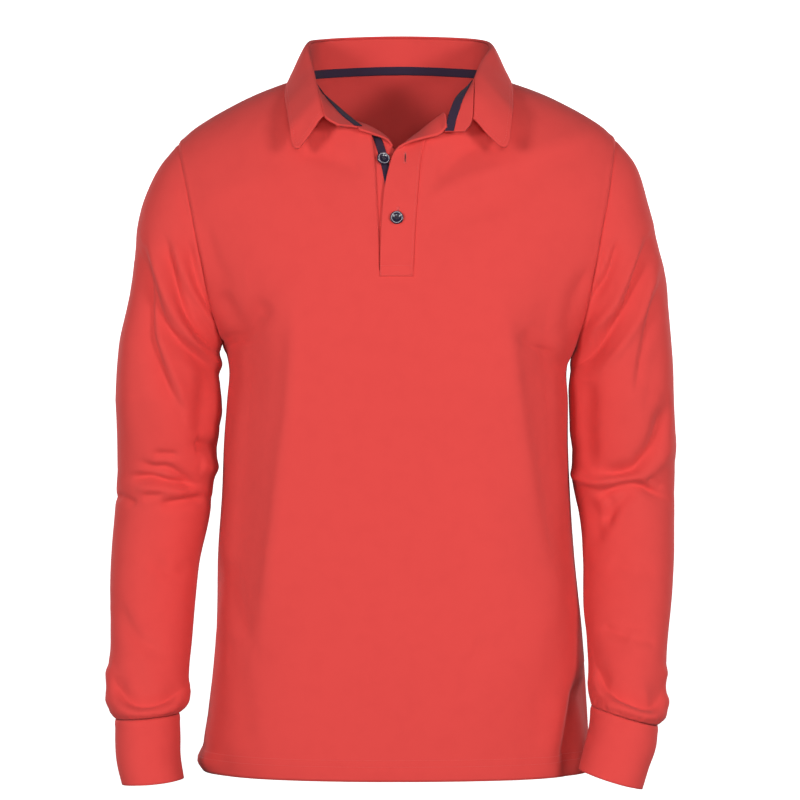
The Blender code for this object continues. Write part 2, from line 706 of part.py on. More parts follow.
# ---- solids -------------------------------------------------------------------------

def material(name, colour, roughness):
    made = bpy.data.materials.new(name)
    made.use_nodes = True
    shader = made.node_tree.nodes["Principled BSDF"]
    shader.inputs["Base Color"].default_value = colour
    shader.inputs["Roughness"].default_value = roughness
    shader.inputs["Metallic"].default_value = 0.0
    return made


def add_object(name, mesh_builder, surface):
    mesh = bpy.data.meshes.new(name)
    mesh_builder.to_mesh(mesh)
    mesh_builder.free()
    mesh.shade_smooth()
    mesh.set_sharp_from_angle(angle=math.radians(40))
    mesh.materials.append(surface)
    made = bpy.data.objects.new(name, mesh)
    bpy.context.scene.collection.objects.link(made)
    return made


def wall(name, grid, normals, thick, surface, closed=False, keep=None):
    """A closed wall of cloth: both faces of a grid of points, joined round its edges."""
    rows, cols = grid.shape[:2]
    builder = bmesh.new()
    faces = {}
    for face_side in (1, -1):
        offset = grid + normals * face_side * thick / 2
        faces[face_side] = [[builder.verts.new(p * MM) for p in row] for row in offset]
    spans = cols if closed else cols - 1
    uses = {}
    for r in range(rows - 1):
        for c in range(spans):
            if keep is not None and not keep(r, c):
                continue
            loop = [(r, c), (r, (c + 1) % cols), (r + 1, (c + 1) % cols), (r + 1, c)]
            builder.faces.new([faces[1][a][b] for a, b in loop])
            builder.faces.new([faces[-1][a][b] for a, b in (loop[0], loop[3], loop[2], loop[1])])
            for start, end in zip(loop, loop[1:] + loop[:1]):
                uses[(start, end)] = uses.get((start, end), 0) + 1
    for start, end in uses:
        if (end, start) in uses:
            continue
        corners = [faces[1][end[0]][end[1]], faces[1][start[0]][start[1]],
                   faces[-1][start[0]][start[1]], faces[-1][end[0]][end[1]]]
        builder.faces.new(corners)
    loose = [v for v in builder.verts if not v.link_faces]
    bmesh.ops.delete(builder, geom=loose, context="VERTS")
    bmesh.ops.recalc_face_normals(builder, faces=builder.faces)
    return add_object(name, builder, surface)


def mitre(normal_a, normal_b, into_a, into_b):
    """Shared thickness direction of two pieces at a seam, and the way from b to a."""
    shared = unit(normal_a + normal_b)
    cosine = np.clip(np.sum(shared * normal_a, axis=-1, keepdims=True), 0.55, 1.0)
    return shared / cosine, unit(into_a - into_b)


def make_body_and_sleeves(red):
    """Front, back and sleeves share their seams: the same thickness direction on each."""
    grids = {side: panel_grid(side) for side in (-1, 1)}
    normals = {side: grid_normals(grids[side]) for side in (-1, 1)}
    for side in (-1, 1):
        facing = np.sign(normals[side][4, len(panel_columns()) // 2, 1]) * side
        normals[side] *= facing
    first_upper = len(lower_levels()) - 1
    columns = panel_columns()
    neck_left = columns.index(-NECK_C)
    neck_right = columns.index(NECK_C)
    seams = [(slice(0, first_upper + 1), 0), (slice(0, first_upper + 1), -1),
             (-1, slice(0, neck_left + 1)), (-1, slice(neck_right, len(columns)))]
    for place in seams:
        shared = unit(normals[-1][place] + normals[1][place])
        for side in (-1, 1):
            normals[side][place] = shared
            grids[side][place] += np.array([0, side * SEAM_GAP / 2, 0])
    for hand in (-1, 1):
        column = 0 if hand < 0 else -1
        inner_column = 1 if hand < 0 else -2
        ring_grid = sleeve_grid(hand)
        ring_normals = outward(ring_grid, grid_normals(ring_grid, closed=True))
        ring_normals[0] = outward(ring_grid[:2], np.repeat(ring_normals[1:2], 2, axis=0))[0]
        flow = unit(ring_grid[1] - ring_grid[0])
        seam_line = armhole_ring(hand)
        for k in range(2 * UPPER_ROWS):
            side = -1 if k <= UPPER_ROWS else 1
            row = first_upper + (k if k <= UPPER_ROWS else 2 * UPPER_ROWS - k)
            twin = k in (0, UPPER_ROWS)
            from_armpit = min(k, 2 * UPPER_ROWS - k)
            gap = SEAM_GAP + ARMPIT_EASE * max(0.0, 1 - from_armpit / 4)
            into_body = unit(grids[side][row, inner_column] - seam_line[k])
            if k == 0:
                into_body = np.array([0.0, 0.0, -1.0])
            body_normal = normals[side][row, column]
            shared, away = mitre(body_normal, ring_normals[0, k], into_body, flow[k])
            for each in ((-1, 1) if twin else (side,)):
                normals[each][row, column] = shared
                grids[each][row, column] = seam_line[k] + away * gap / 2
                if twin:
                    grids[each][row, column] += np.array([0, each * SEAM_GAP / 2, 0])
            ring_normals[0, k] = shared
            ring_grid[0, k] = seam_line[k] - away * gap / 2
        name = "sleeve_right" if hand < 0 else "sleeve_left"
        wall(name, ring_grid, relax_ring_normals(ring_normals), JERSEY, red, closed=True)
    left_seam = columns.index(-PLACKET_C)
    right_seam = columns.index(PLACKET_C)
    foot = box_row(grids[-1])

    def outside_box(r, c):
        return not (r >= foot and left_seam <= c < right_seam)

    wall("front", grids[-1], relax_panel_normals(normals[-1]), JERSEY, red, keep=outside_box)
    wall("back", grids[1], relax_panel_normals(normals[1]), JERSEY, red)


def relax_panel_normals(normals):
    """Even out a panel's thickness directions; its seam edges keep their own."""
    smoothed = relax_normals(relax_normals(normals))
    smoothed[0], smoothed[-1] = normals[0], normals[-1]
    smoothed[:, 0], smoothed[:, -1] = normals[:, 0], normals[:, -1]
    return smoothed


def relax_ring_normals(normals):
    """The same for a tube: rings are closed, and its two ends keep their directions."""
    beside = np.roll(normals, 1, axis=1) + np.roll(normals, -1, axis=1)
    smoothed = normals.copy()
    smoothed[1:-1] = normals[:-2] + normals[2:] + beside[1:-1] + 2 * normals[1:-1]
    return np.concatenate([normals[:1], unit(smoothed[1:-1]), normals[-1:]])


def relax_normals(normals):
    """Even out neighbouring thickness directions inside a grid; its edges keep theirs."""
    smoothed = normals.copy()
    smoothed[1:-1, 1:-1] = (normals[:-2, 1:-1] + normals[2:, 1:-1] + normals[1:-1, :-2]
                            + normals[1:-1, 2:] + 2 * normals[1:-1, 1:-1])
    return unit(smoothed)


def button(name, centre, facing, navy):
    """A dished button turned about its own axis, then set on its cloth."""
    builder = bmesh.new()
    profile = [builder.verts.new((r, 0, z)) for r, z in BUTTON_PROFILE]
    edges = [builder.edges.new(pair) for pair in zip(profile, profile[1:])]
    bmesh.ops.spin(builder, geom=profile + edges, axis=(0, 0, 1), cent=(0, 0, 0),
                   angle=2 * math.pi, steps=BUTTON_SIDES, use_merge=True)
    bmesh.ops.remove_doubles(builder, verts=builder.verts, dist=0.001)
    bmesh.ops.recalc_face_normals(builder, faces=builder.faces)
    turn = Vector(facing).to_track_quat("Z", "Y").to_matrix().to_4x4()
    place = Matrix.Translation(Vector(centre)) @ turn
    bmesh.ops.transform(builder, matrix=Matrix.Scale(MM, 4) @ place, verts=builder.verts)
    add_object(name, builder, navy)


def make_buttons(navy):
    """One on the under placket's tape, one fastened, one on the outside of the stand."""
    grid = strip_grid(PLACKET_UNDER, PLACKET_LAYER["under"])
    spots = [("button_1", grid, (-17.4, -68.0), DOUBLE / 2 + SEAM_GAP + TAPE)]
    grid = strip_grid(PLACKET_TOP, PLACKET_LAYER["top"])
    spots.append(("button_2", grid, (-2.9, -125.0), DOUBLE / 2))
    for name, grid, (x, z), cloth in spots:
        normals = grid_normals(grid)
        gaps = (grid[:, :, 0] - x) ** 2 + (grid[:, :, 2] - z) ** 2
        near = np.unravel_index(np.argmin(gaps), gaps.shape)
        out = normals[near] * -np.sign(normals[near][1])
        slope = (out[0] * (x - grid[near][0]) + out[2] * (z - grid[near][2])) / out[1]
        centre = np.array([x, grid[near][1] - slope, z]) + out * (cloth + BUTTON_LIFT)
        button(name, centre, out, navy)
    base, fold, edge = collar_row(STAND_BUTTON_AT)
    out = -stand_normal(STAND_BUTTON_AT)
    out *= -np.sign(out[2])
    button("button_stand", lerp(base, fold, 0.5) + out * (DOUBLE / 2 + BUTTON_LIFT), out, navy)


def make_placket_tape(navy):
    """Navy tape down the middle of the under placket, laid on its outer face."""
    grid = strip_grid(PLACKET_UNDER, PLACKET_LAYER["under"])
    normals = relax_normals(grid_normals(grid))
    normals *= -np.sign(normals[4, 2, 1])
    lift = DOUBLE / 2 + SEAM_GAP + TAPE / 2
    rows = []
    for r in range(TAPE_FIRST, TAPE_LAST):
        rows.append([grid[r, c] + normals[r, c] * lift for c in TAPE_COLUMNS])
    tape = np.array(rows)
    wall("tape_placket", tape, normals[TAPE_FIRST:TAPE_LAST, TAPE_COLUMNS], TAPE, navy)


def make_cuffs(red):
    for hand in (-1, 1):
        grid = cuff_grid(hand)
        normals = outward(grid, grid_normals(grid, closed=True))
        name = "cuff_right" if hand < 0 else "cuff_left"
        wall(name, grid, normals, DOUBLE, red, closed=True)


def make_collar(trim, navy):
    grid = stand_grid()
    wall("collar_stand", grid, grid_normals(grid), DOUBLE, trim)
    grid = leaf_grid()
    wall("collar_leaf", grid, leaf_normals(grid), DOUBLE, trim)
    grid = neck_tape_grid()
    wall("tape_neck", grid, grid_normals(grid), TAPE, navy)


def make_plackets(trim):
    for name, table, layer in (("placket_top", PLACKET_TOP, PLACKET_LAYER["top"]),
                               ("placket_under", PLACKET_UNDER, PLACKET_LAYER["under"])):
        grid = strip_grid(table, layer)
        wall(name, grid, grid_normals(grid), DOUBLE, trim)


def main():
    for old in list(bpy.data.objects):
        bpy.data.objects.remove(old, do_unlink=True)
    red = material("red_jersey", RED, KNIT_ROUGHNESS)
    trim = material("red_trim", RED, KNIT_ROUGHNESS)
    tape = material("navy_tape", NAVY, TAPE_ROUGHNESS)
    gloss = material("navy_button", NAVY, BUTTON_ROUGHNESS)
    make_body_and_sleeves(red)
    make_cuffs(red)
    make_collar(trim, tape)
    make_plackets(trim)
    make_placket_tape(tape)
    make_buttons(gloss)


main()
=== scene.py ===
import bpy
import bmesh
import math
import numpy as np
from mathutils import Matrix, Vector, noise


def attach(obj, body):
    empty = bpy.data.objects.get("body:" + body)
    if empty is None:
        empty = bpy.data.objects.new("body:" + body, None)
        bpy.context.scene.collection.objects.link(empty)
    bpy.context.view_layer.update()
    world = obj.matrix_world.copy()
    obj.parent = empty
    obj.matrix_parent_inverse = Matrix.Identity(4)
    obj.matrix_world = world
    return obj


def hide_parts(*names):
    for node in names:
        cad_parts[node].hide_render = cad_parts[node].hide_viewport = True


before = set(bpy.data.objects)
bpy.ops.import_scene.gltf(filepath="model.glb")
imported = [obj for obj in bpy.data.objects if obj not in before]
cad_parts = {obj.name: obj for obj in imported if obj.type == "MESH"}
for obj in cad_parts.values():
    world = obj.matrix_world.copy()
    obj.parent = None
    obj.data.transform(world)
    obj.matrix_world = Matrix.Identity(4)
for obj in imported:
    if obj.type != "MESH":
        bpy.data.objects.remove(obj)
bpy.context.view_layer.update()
print("frame loaded", len(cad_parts), "nodes")

mm = 0.001  # every size below is in millimetres, every mesh in metres
jerseyWall = 1.3
sideName = {-1: "front", 1: "back"}
handName = {-1: "Right", 1: "Left"}  # right is at the camera's left


# smooth curve through a table's values, read at one key or at many
def curveThrough(keys, values, at):
    keys, values = np.array(keys, float), np.array(values, float)
    if keys[0] > keys[-1]:
        keys, values = keys[::-1], values[::-1]
    slopes = np.gradient(values, keys, axis=0)
    at = np.clip(np.asarray(at, float), keys[0], keys[-1])
    i = np.clip(np.searchsorted(keys, at) - 1, 0, len(keys) - 2)
    span = keys[i + 1] - keys[i]
    t = (at - keys[i]) / span
    if values.ndim == 2:
        t, span = t[..., None], span[..., None]
    low = (1 + 2 * t) * (1 - t) ** 2 * values[i] + t * (1 - t) ** 2 * span * slopes[i]
    high = t * t * (3 - 2 * t) * values[i + 1] - t * t * (1 - t) * span * slopes[i + 1]
    return low + high


def readCut(cut, keys, names, at):  # several lines of a piece's table at one key
    return [curveThrough(cut[keys], cut[name], at) for name in names]


def lerp(a, b, t):
    return a + (b - a) * t


def unit(v):
    return v / np.maximum(np.linalg.norm(v, axis=-1, keepdims=True), 1e-9)


def ease(low, high, value):  # 0 below low, 1 above high, smooth between
    t = np.clip((value - low) / (high - low), 0, 1)
    return t * t * (3 - 2 * t)


bodyCut = {
    "hemZ": -668,
    "armpitZ": {-1: -243, 1: -249},
    "tip": {-1: (-222, 4, -44), 1: (215, 4, -40)},
    "neckZ": 22,
    "sideY": 3,
    "square": 2.4,                    # 2 is an ellipse, more is squarer
    "riseSquare": {-1: 2.2, 1: 3.6},
    "neckRise": {-1: 10, 1: 34},
    "bulge": {-1: 62, 1: 66},         # how far the armhole bows forward and back
    "placketC": 0.12,                 # across a panel, -1 to 1
    "neckC": 0.43,
    "boxZ": -176,                     # foot of the placket
    "z": [-668, -644, -608, -560, -512, -452, -392, -340, -300, -268, -243],
    "left": [193, 196, 191, 185, 183, 182, 178, 176, 173, 171, 176],
    "right": [190, 189, 187, 184, 180, 174, 170, 168, 168, 167, 174],
    "front": [113, 115, 117, 119, 120, 120, 120, 121, 123, 124, 124],
    "back": [108, 109, 109, 108, 106, 104, 105, 110, 117, 121, 122],
    "holeZ": [-249, -209, -169, -130, -100, -70, -40],
    "holeLeft": [176, 186, 194, 202, 208, 215, 222],
    "holeRight": [174, 184, 192, 199, 205, 210, 215],
    "ridgeX": [60, 95, 120, 148, 172, 193, 209, 222],
    "ridgeZ": [34, 22, 14, 3, -9, -21, -32, -44],
    "seamZ": [-668, -176, -130, -90, -60, -30],
    "seamLeft": [-20, -20, -21, -23, -25, -28],
    "seamRight": [12, 12, 14, 17, 20, 27],
    "neckHalf": 95,                   # the shoulder's ridge starts here
    "neckDip": 16,
    "neckTurn": {-1: 1.12, 1: 0.70},  # how far the neckline cuts into a panel
    "neckPower": (3, 1.4),            # how square that cut is
    "armpitFlat": 16,                 # more keeps the armpit's rounding nearer the side
    "topSquare": 1.25,                # the squareness at the height of the mid armhole
    "nearArmpit": (0.93, 0.97),       # levels where the rows close up, and the sides turn in
    "columns": (5, 24, 52),           # over half the placket, to the neck point, to the side
    "rows": (130, 16, 34, 52),        # to near the armpit, to it, to mid armhole, to the top
}


def armholeX(hand, z):
    name = "holeLeft" if hand < 0 else "holeRight"
    return hand * curveThrough(bodyCut["holeZ"], bodyCut[name], z)


# edge of the armhole: phi is 0 at the armpit and pi at the shoulder tip
def armholePoint(side, hand, phi):
    s = (1 - np.cos(phi)) / 2
    z = lerp(bodyCut["armpitZ"][hand], bodyCut["tip"][hand][2], s)
    y = bodyCut["sideY"] + side * bodyCut["bulge"][side] * np.sin(phi)
    return np.stack([armholeX(hand, z), y, z], axis=-1)


def armpitAt(c):
    return lerp(bodyCut["armpitZ"][-1], bodyCut["armpitZ"][1], (c + 1) / 2)


def panelX(c, z, left, right):
    seamLeft, seamRight = readCut(bodyCut, "seamZ", ("seamLeft", "seamRight"), z)
    c0 = bodyCut["placketC"]
    outLeft = lerp(seamLeft, -left, (-c - c0) / (1 - c0))
    outRight = lerp(seamRight, right, (c - c0) / (1 - c0))
    inside = lerp(seamLeft, seamRight, (c + c0) / (2 * c0))
    return np.where(c < -c0, outLeft, np.where(c > c0, outRight, inside))


def lowerPoint(side, c, level):  # below the armpits
    z = lerp(bodyCut["hemZ"], armpitAt(c), level)
    left, right, depth = readCut(bodyCut, "z", ("left", "right", sideName[side]), z)
    near = ease(bodyCut["nearArmpit"][1], 1, level)
    left = lerp(left, -armholeX(-1, bodyCut["armpitZ"][-1]), near)
    right = lerp(right, armholeX(1, bodyCut["armpitZ"][1]), near)
    x = panelX(c, z, left, right)
    f = np.minimum(abs(x - (right - left) / 2) / ((left + right) / 2), 1)
    n = bodyCut["square"]
    y = bodyCut["sideY"] + side * depth * (1 - f ** n) ** (1 / n)
    return np.stack([x, y, z], axis=-1)


def ridgeZ(side, x):  # height of the shoulder seam and the neck's own edge
    half, tips = bodyCut["neckHalf"], bodyCut["tip"]
    drop = (tips[1][2] - tips[-1][2]) * np.maximum(0, (x - half) / (tips[1][0] - half))
    reach = abs(x) * np.where(x > 0, -tips[-1][0] / tips[1][0], 1)
    inside = 1 - (np.minimum(reach, half) / half) ** 2
    within = bodyCut["neckDip"] * inside + bodyCut["neckRise"][side] * inside ** 2
    within += bodyCut["neckZ"]
    shoulder = curveThrough(bodyCut["ridgeX"], bodyCut["ridgeZ"], reach) + drop
    return np.where(reach < half, within, shoulder)


def neckPhi(side, c):
    inner, outer = bodyCut["neckPower"]
    dip = (1 - np.minimum(abs(c) / bodyCut["neckC"], 1) ** inner) ** outer
    return math.pi - dip * bodyCut["neckTurn"][side]


# a point of the neckline seam, by its station round the collar
def seamAt(at):
    stand = [i for i, a in enumerate(collarCut["baseAt"]) if 0.2 < a < 0.8]
    keys, points = collarCut["neckAt"], collarCut["neckPoint"]
    return curveThrough(keys[:3] + [collarCut["baseAt"][i] for i in stand] + keys[3:],
                        points[:3] + [collarCut["base"][i] for i in stand] + points[3:], at)


def necklinePoint(side, c):
    neckC, c0 = bodyCut["neckC"], bodyCut["placketC"]
    left, right = collarCut["shoulderAt"]
    c = np.clip(c, -neckC, neckC)
    if side > 0:
        return seamAt(lerp(left, right, (c + neckC) / (2 * neckC)))
    reach = (neckC - np.maximum(abs(c), c0)) / (neckC - c0)
    first, last = collarCut["neckAt"][0], collarCut["neckAt"][-1]
    return seamAt(np.where(c < 0, lerp(left, first, reach), lerp(right, last, reach)))


def risePoint(side, c, phi):  # above the armpits
    s = (1 - np.cos(phi)) / 2
    left, right = armholePoint(side, -1, phi), armholePoint(side, 1, phi)
    topX = panelX(c, np.full_like(c, -10), -bodyCut["tip"][-1][0], bodyCut["tip"][1][0])
    z = lerp(armpitAt(c), ridgeZ(side, topX), s)
    x = panelX(c, z, -left[..., 0], right[..., 0])
    depth = curveThrough(bodyCut["z"], bodyCut[sideName[side]], armpitAt(c))
    centre = depth * np.sqrt(np.maximum(0, 1 - s ** bodyCut["riseSquare"][side]))
    middle = (right[..., 0] + left[..., 0]) / 2
    f = np.minimum(abs(x - middle) / ((right[..., 0] - left[..., 0]) / 2), 1)
    rounded = np.sin(phi)
    low = lerp(rounded ** 2, rounded, f ** bodyCut["armpitFlat"])
    rounded = np.where(phi < math.pi / 2, low, rounded)
    edge = bodyCut["bulge"][side] * rounded
    n = bodyCut["square"]
    climbed = np.maximum(0, np.sin(np.minimum(phi, math.pi / 2)))
    flat = lerp(n, bodyCut["topSquare"], climbed ** 1.5)
    y = bodyCut["sideY"] + side * (edge + (centre - edge) * (1 - f ** n) ** (1 / flat))
    return np.stack([x, y, z], axis=-1)


def upperPoint(side, c, rise):  # the same, brought to the neckline seam and the armholes
    phi = neckPhi(side, c) * rise
    top = risePoint(side, c, neckPhi(side, c))
    shift = np.where((abs(c) < bodyCut["neckC"])[..., None], necklinePoint(side, c) - top, 0)
    point = risePoint(side, c, phi) + shift * (rise ** 5)[..., None]
    for hand in (-1, 1):
        point = np.where((c == hand)[..., None], armholePoint(side, hand, phi), point)
    return point


def heightOnColumn(c, z):  # rise at which the front's column c reaches a height
    c = np.asarray(c, float)
    low, high = np.zeros_like(c), np.ones_like(c)
    for halving in range(26):
        rise = (low + high) / 2
        under = upperPoint(-1, c, rise)[..., 2] < z
        low, high = np.where(under, rise, low), np.where(under, high, rise)
    return (low + high) / 2


# mid-surface of the front (side -1) or the back (side 1), hem row first
def panelPoints(side):
    def spread(start, end, count):
        return np.linspace(start, end, max(3, int(count * (1))))
    c0, neckC = bodyCut["placketC"], bodyCut["neckC"]
    inBox, toNeck, toSide = bodyCut["columns"]
    half = np.concatenate([spread(0, c0, inBox), spread(c0, neckC, toNeck)[1:],
                           1 - (1 - neckC) * spread(1, 0, toSide)[1:] ** 1.25])
    columns = np.concatenate([-half[:0:-1], half])
    toNear, toArmpit, toMiddle, toTop = bodyCut["rows"]
    nearBy = bodyCut["nearArmpit"][0]
    levels = np.concatenate([spread(0, nearBy, toNear), spread(nearBy, 1, toArmpit)[1:]])
    rises = np.concatenate([np.arccos(1 - spread(0, 1, toMiddle)[1:]),
                            spread(math.pi / 2, math.pi, toTop)[1:]]) / math.pi
    c, level = np.meshgrid(columns, levels)
    lower = lowerPoint(side, c, level)
    c, rise = np.meshgrid(columns, rises)
    points = np.concatenate([lower, upperPoint(side, c, rise)])
    rowOf = {"armpit": len(levels) - 1, "foot": None}
    if side < 0:
        foot = int(np.argmin(abs(points[:, len(columns) // 2, 2] - bodyCut["boxZ"])))
        inside = abs(columns) <= c0 + 1e-9
        rises = heightOnColumn(columns[inside], bodyCut["boxZ"])
        points[foot, inside] = upperPoint(-1, columns[inside], rises)
        rowOf["foot"] = foot
    return points, columns, rowOf


sleeveCut = {
    -1: {
        "z": [-300, -340, -380, -420, -460, -500, -540, -575, -590, -604, -610],
        "x": [-233, -233, -235.5, -239, -244.5, -247, -247.5, -248.5, -247, -247.5, -248.5],
        "y": [4, 9, 14, 15, 8, -4, -20, -34, -40, -45, -48],
        "across": [50.5, 50, 48, 47, 44, 42, 39.5, 39, 39.5, 36, 30.5],
        "deep": [63, 59, 55, 52, 49, 46, 43, 42, 42, 40, 35],
        "step": [0, 0.14, 0.30, 0.48, 0.66, 0.84, 1],
        "top": [(-222, -44), (-241, -68), (-257, -104), (-266, -152), (-273, -202),
                (-280, -254), (-283.5, -300)],
        "under": [(-176, -243), (-178.5, -246), (-181, -253), (-182, -263), (-182.5, -275),
                  (-182.5, -288), (-182.5, -300)],
        "lean": 5,
    },
    1: {
        "z": [-300, -340, -380, -420, -460, -500, -540, -570, -586, -598, -606],
        "x": [223, 224, 223.5, 227, 227.5, 225, 223, 221.5, 221.5, 221, 218.5],
        "y": [2, 4, 6, 2, -12, -30, -50, -64, -72, -78, -82],
        "across": [50.5, 51, 50.5, 46.5, 44.5, 43, 38.5, 36.5, 37.5, 36, 31.5],
        "deep": [62, 58, 55, 52, 49, 46, 43, 42, 42, 40, 35],
        "step": [0, 0.14, 0.30, 0.48, 0.66, 0.84, 1],
        "top": [(215, -40), (235, -66), (248, -104), (260, -152), (268, -202),
                (272, -254), (273.5, -300)],
        "under": [(174, -249), (175.5, -252), (175, -258), (174, -267), (173, -278),
                  (172.5, -290), (172.5, -300)],
        "lean": -17,
    },
    "bendZ": -520,                    # below it the rings lean with the forearm
    "bendOver": 90,
    "headDeep": 64,
    "around": 150,
    "head": 92,
    "arm": 158,
}


def armholeRing(hand, turns):
    front = armholePoint(-1, hand, 2 * math.pi * np.minimum(turns, 0.5))
    back = armholePoint(1, hand, 2 * math.pi * (1 - np.maximum(turns, 0.5)))
    return np.where((turns <= 0.5)[:, None], front, back)


def headRing(hand, step, turns):
    cut = sleeveCut[hand]
    top, under = readCut(cut, "step", ("top", "under"), np.array(step))
    deep = lerp(sleeveCut["headDeep"], cut["deep"][0], step)
    angle = turns * 2 * math.pi
    x = (top[0] + under[0]) / 2 + (under[0] - top[0]) / 2 * np.cos(angle)
    z = (top[1] + under[1]) / 2 + (under[1] - top[1]) / 2 * np.cos(angle)
    y = lerp(bodyCut["tip"][hand][1], cut["y"][0], step) - deep * np.sin(angle)
    return np.stack([x, y, z], axis=-1)


# one ring round an arm; lean is how much it drops towards the outside
def ovalRing(hand, centre, across, deep, lean, turns):
    angle = turns * 2 * math.pi
    x = -hand * across * np.cos(angle)
    y = centre[1] - deep * np.sin(angle)
    return np.stack([centre[0] + x, y, centre[2] + x * lean], axis=-1)


def sleevePoints(hand):
    cut = sleeveCut[hand]
    turns = np.arange(sleeveCut["around"] + 1) / sleeveCut["around"]
    first, plain = armholeRing(hand, turns), headRing(hand, 0, turns)
    rings = []
    for step in np.linspace(0, 1, sleeveCut["head"])[:-1] ** 1.3:
        rings.append(headRing(hand, step, turns) + (first - plain) * (1 - step) ** 3)
    for z in np.linspace(cut["z"][0], cut["z"][-1], sleeveCut["arm"]):
        x, y, across, deep = readCut(cut, "z", ("x", "y", "across", "deep"), z)
        bent = max(0, (sleeveCut["bendZ"] - z) / sleeveCut["bendOver"])
        lean = math.tan(math.radians(cut["lean"])) * bent
        rings.append(ovalRing(hand, (x, y, z), across, deep, lean, turns))
    return np.array(rings), turns


cuffCut = {
    -1: {"step": [0, 0.3, 0.7, 1], "x": [-248.5, -247.5, -245.5, -241], "y": [-48, -55, -63, -69],
         "z": [-611, -631, -653, -672], "across": [30.5, 31, 30, 29], "deep": [35, 35, 34, 33]},
    1: {"step": [0, 0.3, 0.7, 1], "x": [218.3, 216, 209, 203.5], "y": [-82, -88, -95, -100],
        "z": [-607, -626, -648, -666], "across": [31.5, 31.5, 30.5, 30], "deep": [35, 35, 34, 33]},
    "around": 96,
    "down": 30,
}


def cuffPoints(hand):
    turns = np.arange(cuffCut["around"] + 1) / cuffCut["around"]
    lean = math.tan(math.radians(sleeveCut[hand]["lean"]))
    rings = []
    for step in np.linspace(0, 1, cuffCut["down"]):
        lines = readCut(cuffCut[hand], "step", ("x", "y", "z", "across", "deep"), step)
        rings.append(ovalRing(hand, lines[:3], *lines[3:], lean, turns))
    return np.array(rings), turns


collarCut = {
    "baseAt": [0, 0.045, 0.085, 0.15, 0.23, 0.32, 0.41, 0.5, 0.59, 0.68, 0.77, 0.815, 0.85, 0.885,
               0.915, 0.955, 1],
    "base": [(-40, -94, -36), (-54, -84, -24), (-65, -73, -13), (-76, -56, -1), (-87, -28, 12),
             (-95, 3, 22), (-74, 54, 31), (0, 82, 37), (72, 54, 31), (92, 3, 22),
             (85, -29, 12), (75, -49, 9), (66, -64, 4), (58, -76, -3), (52, -86, -10),
             (46, -96, -24), (42.5, -102, -41)],
    "foldAt": [0, 0.045, 0.085, 0.15, 0.23, 0.32, 0.41, 0.5, 0.59, 0.68, 0.77, 0.85, 0.915, 0.955,
               0.98, 1],
    "fold": [(-60, -109, -35), (-73, -105, -26), (-77, -95, -12), (-81, -76, 4), (-86, -44, 26),
             (-91, -6, 52), (-75, 46, 64), (0, 74, 70), (75, 46, 64), (90, -6, 50),
             (80.5, -40, 32), (73, -70, 12), (71.5, -89, -7), (70, -100, -28), (67.5, -104, -34.5),
             (62, -107, -41)],
    "edgeAt": [0.045, 0.06, 0.075, 0.105, 0.15, 0.19, 0.23, 0.32, 0.41, 0.5, 0.59, 0.68, 0.77, 0.81,
               0.85, 0.895, 0.925, 0.94, 0.955],
    "edge": [(-97.5, -113, -57.5), (-101.5, -111, -57), (-104, -108, -53), (-106, -102, -40),
             (-108.5, -87, -26), (-111, -69, -12), (-113, -46, 0), (-108.5, -2, 22), (-98, 62, 25),
             (0, 96, 27), (97, 62, 25), (107, -2, 22.5), (110.8, -44, 4), (110.2, -64, -8),
             (109.5, -84, -20), (107, -98, -37), (105, -106, -51), (102.5, -109, -55.5),
             (98.8, -110, -56.5)],
    "leafStart": 0.045,
    "leafEnd": 0.955,
    "leafGap": 0.9,
    "neckAt": [0.04, 0.10, 0.16, 0.82, 0.875, 0.92, 0.96],
    "neckPoint": [(-28, -89, -38), (-52, -79, -26), (-72, -60, -7),
                  (71, -52, 4), (58, -69, -7), (46, -82, -24), (25.5, -90, -42)],
    "shoulderAt": (0.32, 0.68),       # stations of the neck points
    "standLift": 1.2,                 # above the neckline seam
    "rollUp": 6, "rollOut": 2.5,      # how the leaf leaves the stand
    "fallBack": 22, "fallOut": 4,     # how it comes down to its edge
    "tapeWide": 8.6,
    "tapeIn": 2.0,
    "tapeFoot": (-3.0, 1.4),          # its height at the right and at the left front
    "tapeClimb": (0.80, 0.90),
}


def collarRow(at):
    base, fold, edge = (curveThrough(collarCut[line + "At"], collarCut[line], at)
                        for line in ("base", "fold", "edge"))
    return base, fold, edge, unit(fold - base)


def standPoints():
    base, fold, edge, rise = collarRow(np.linspace(0, 1, 240))
    return np.array([lerp(base, fold, t) + rise * collarCut["standLift"] * (1 - t)
                     for t in np.linspace(0, 1, 18)])


def leafPoints():
    cut = collarCut
    base, fold, edge, rise = collarRow(np.linspace(cut["leafStart"], cut["leafEnd"], 260))
    away = unit(edge - fold)
    out = unit(away - rise * np.sum(away * rise, axis=-1, keepdims=True))
    first = fold + rise * cut["leafGap"]
    second = first + rise * cut["rollUp"] + out * cut["rollOut"]
    third = edge - away * cut["fallBack"] + out * cut["fallOut"]
    return np.array([(1 - t) ** 3 * first + 3 * t * (1 - t) ** 2 * second
                     + 3 * t * t * (1 - t) * third + t ** 3 * edge
                     for t in np.linspace(0, 1, 34) ** 1.25])


def neckTapePoints():
    at = np.linspace(0, 1, 240)
    base, fold, edge, rise = collarRow(at)
    inward = unit(np.cross(unit(np.gradient(base, axis=0)), rise))
    low = lerp(*collarCut["tapeFoot"], ease(*collarCut["tapeClimb"], at))[:, None]
    return np.array([base + rise * (low + t) + inward * collarCut["tapeIn"]
                     for t in np.linspace(0, collarCut["tapeWide"], 6)])


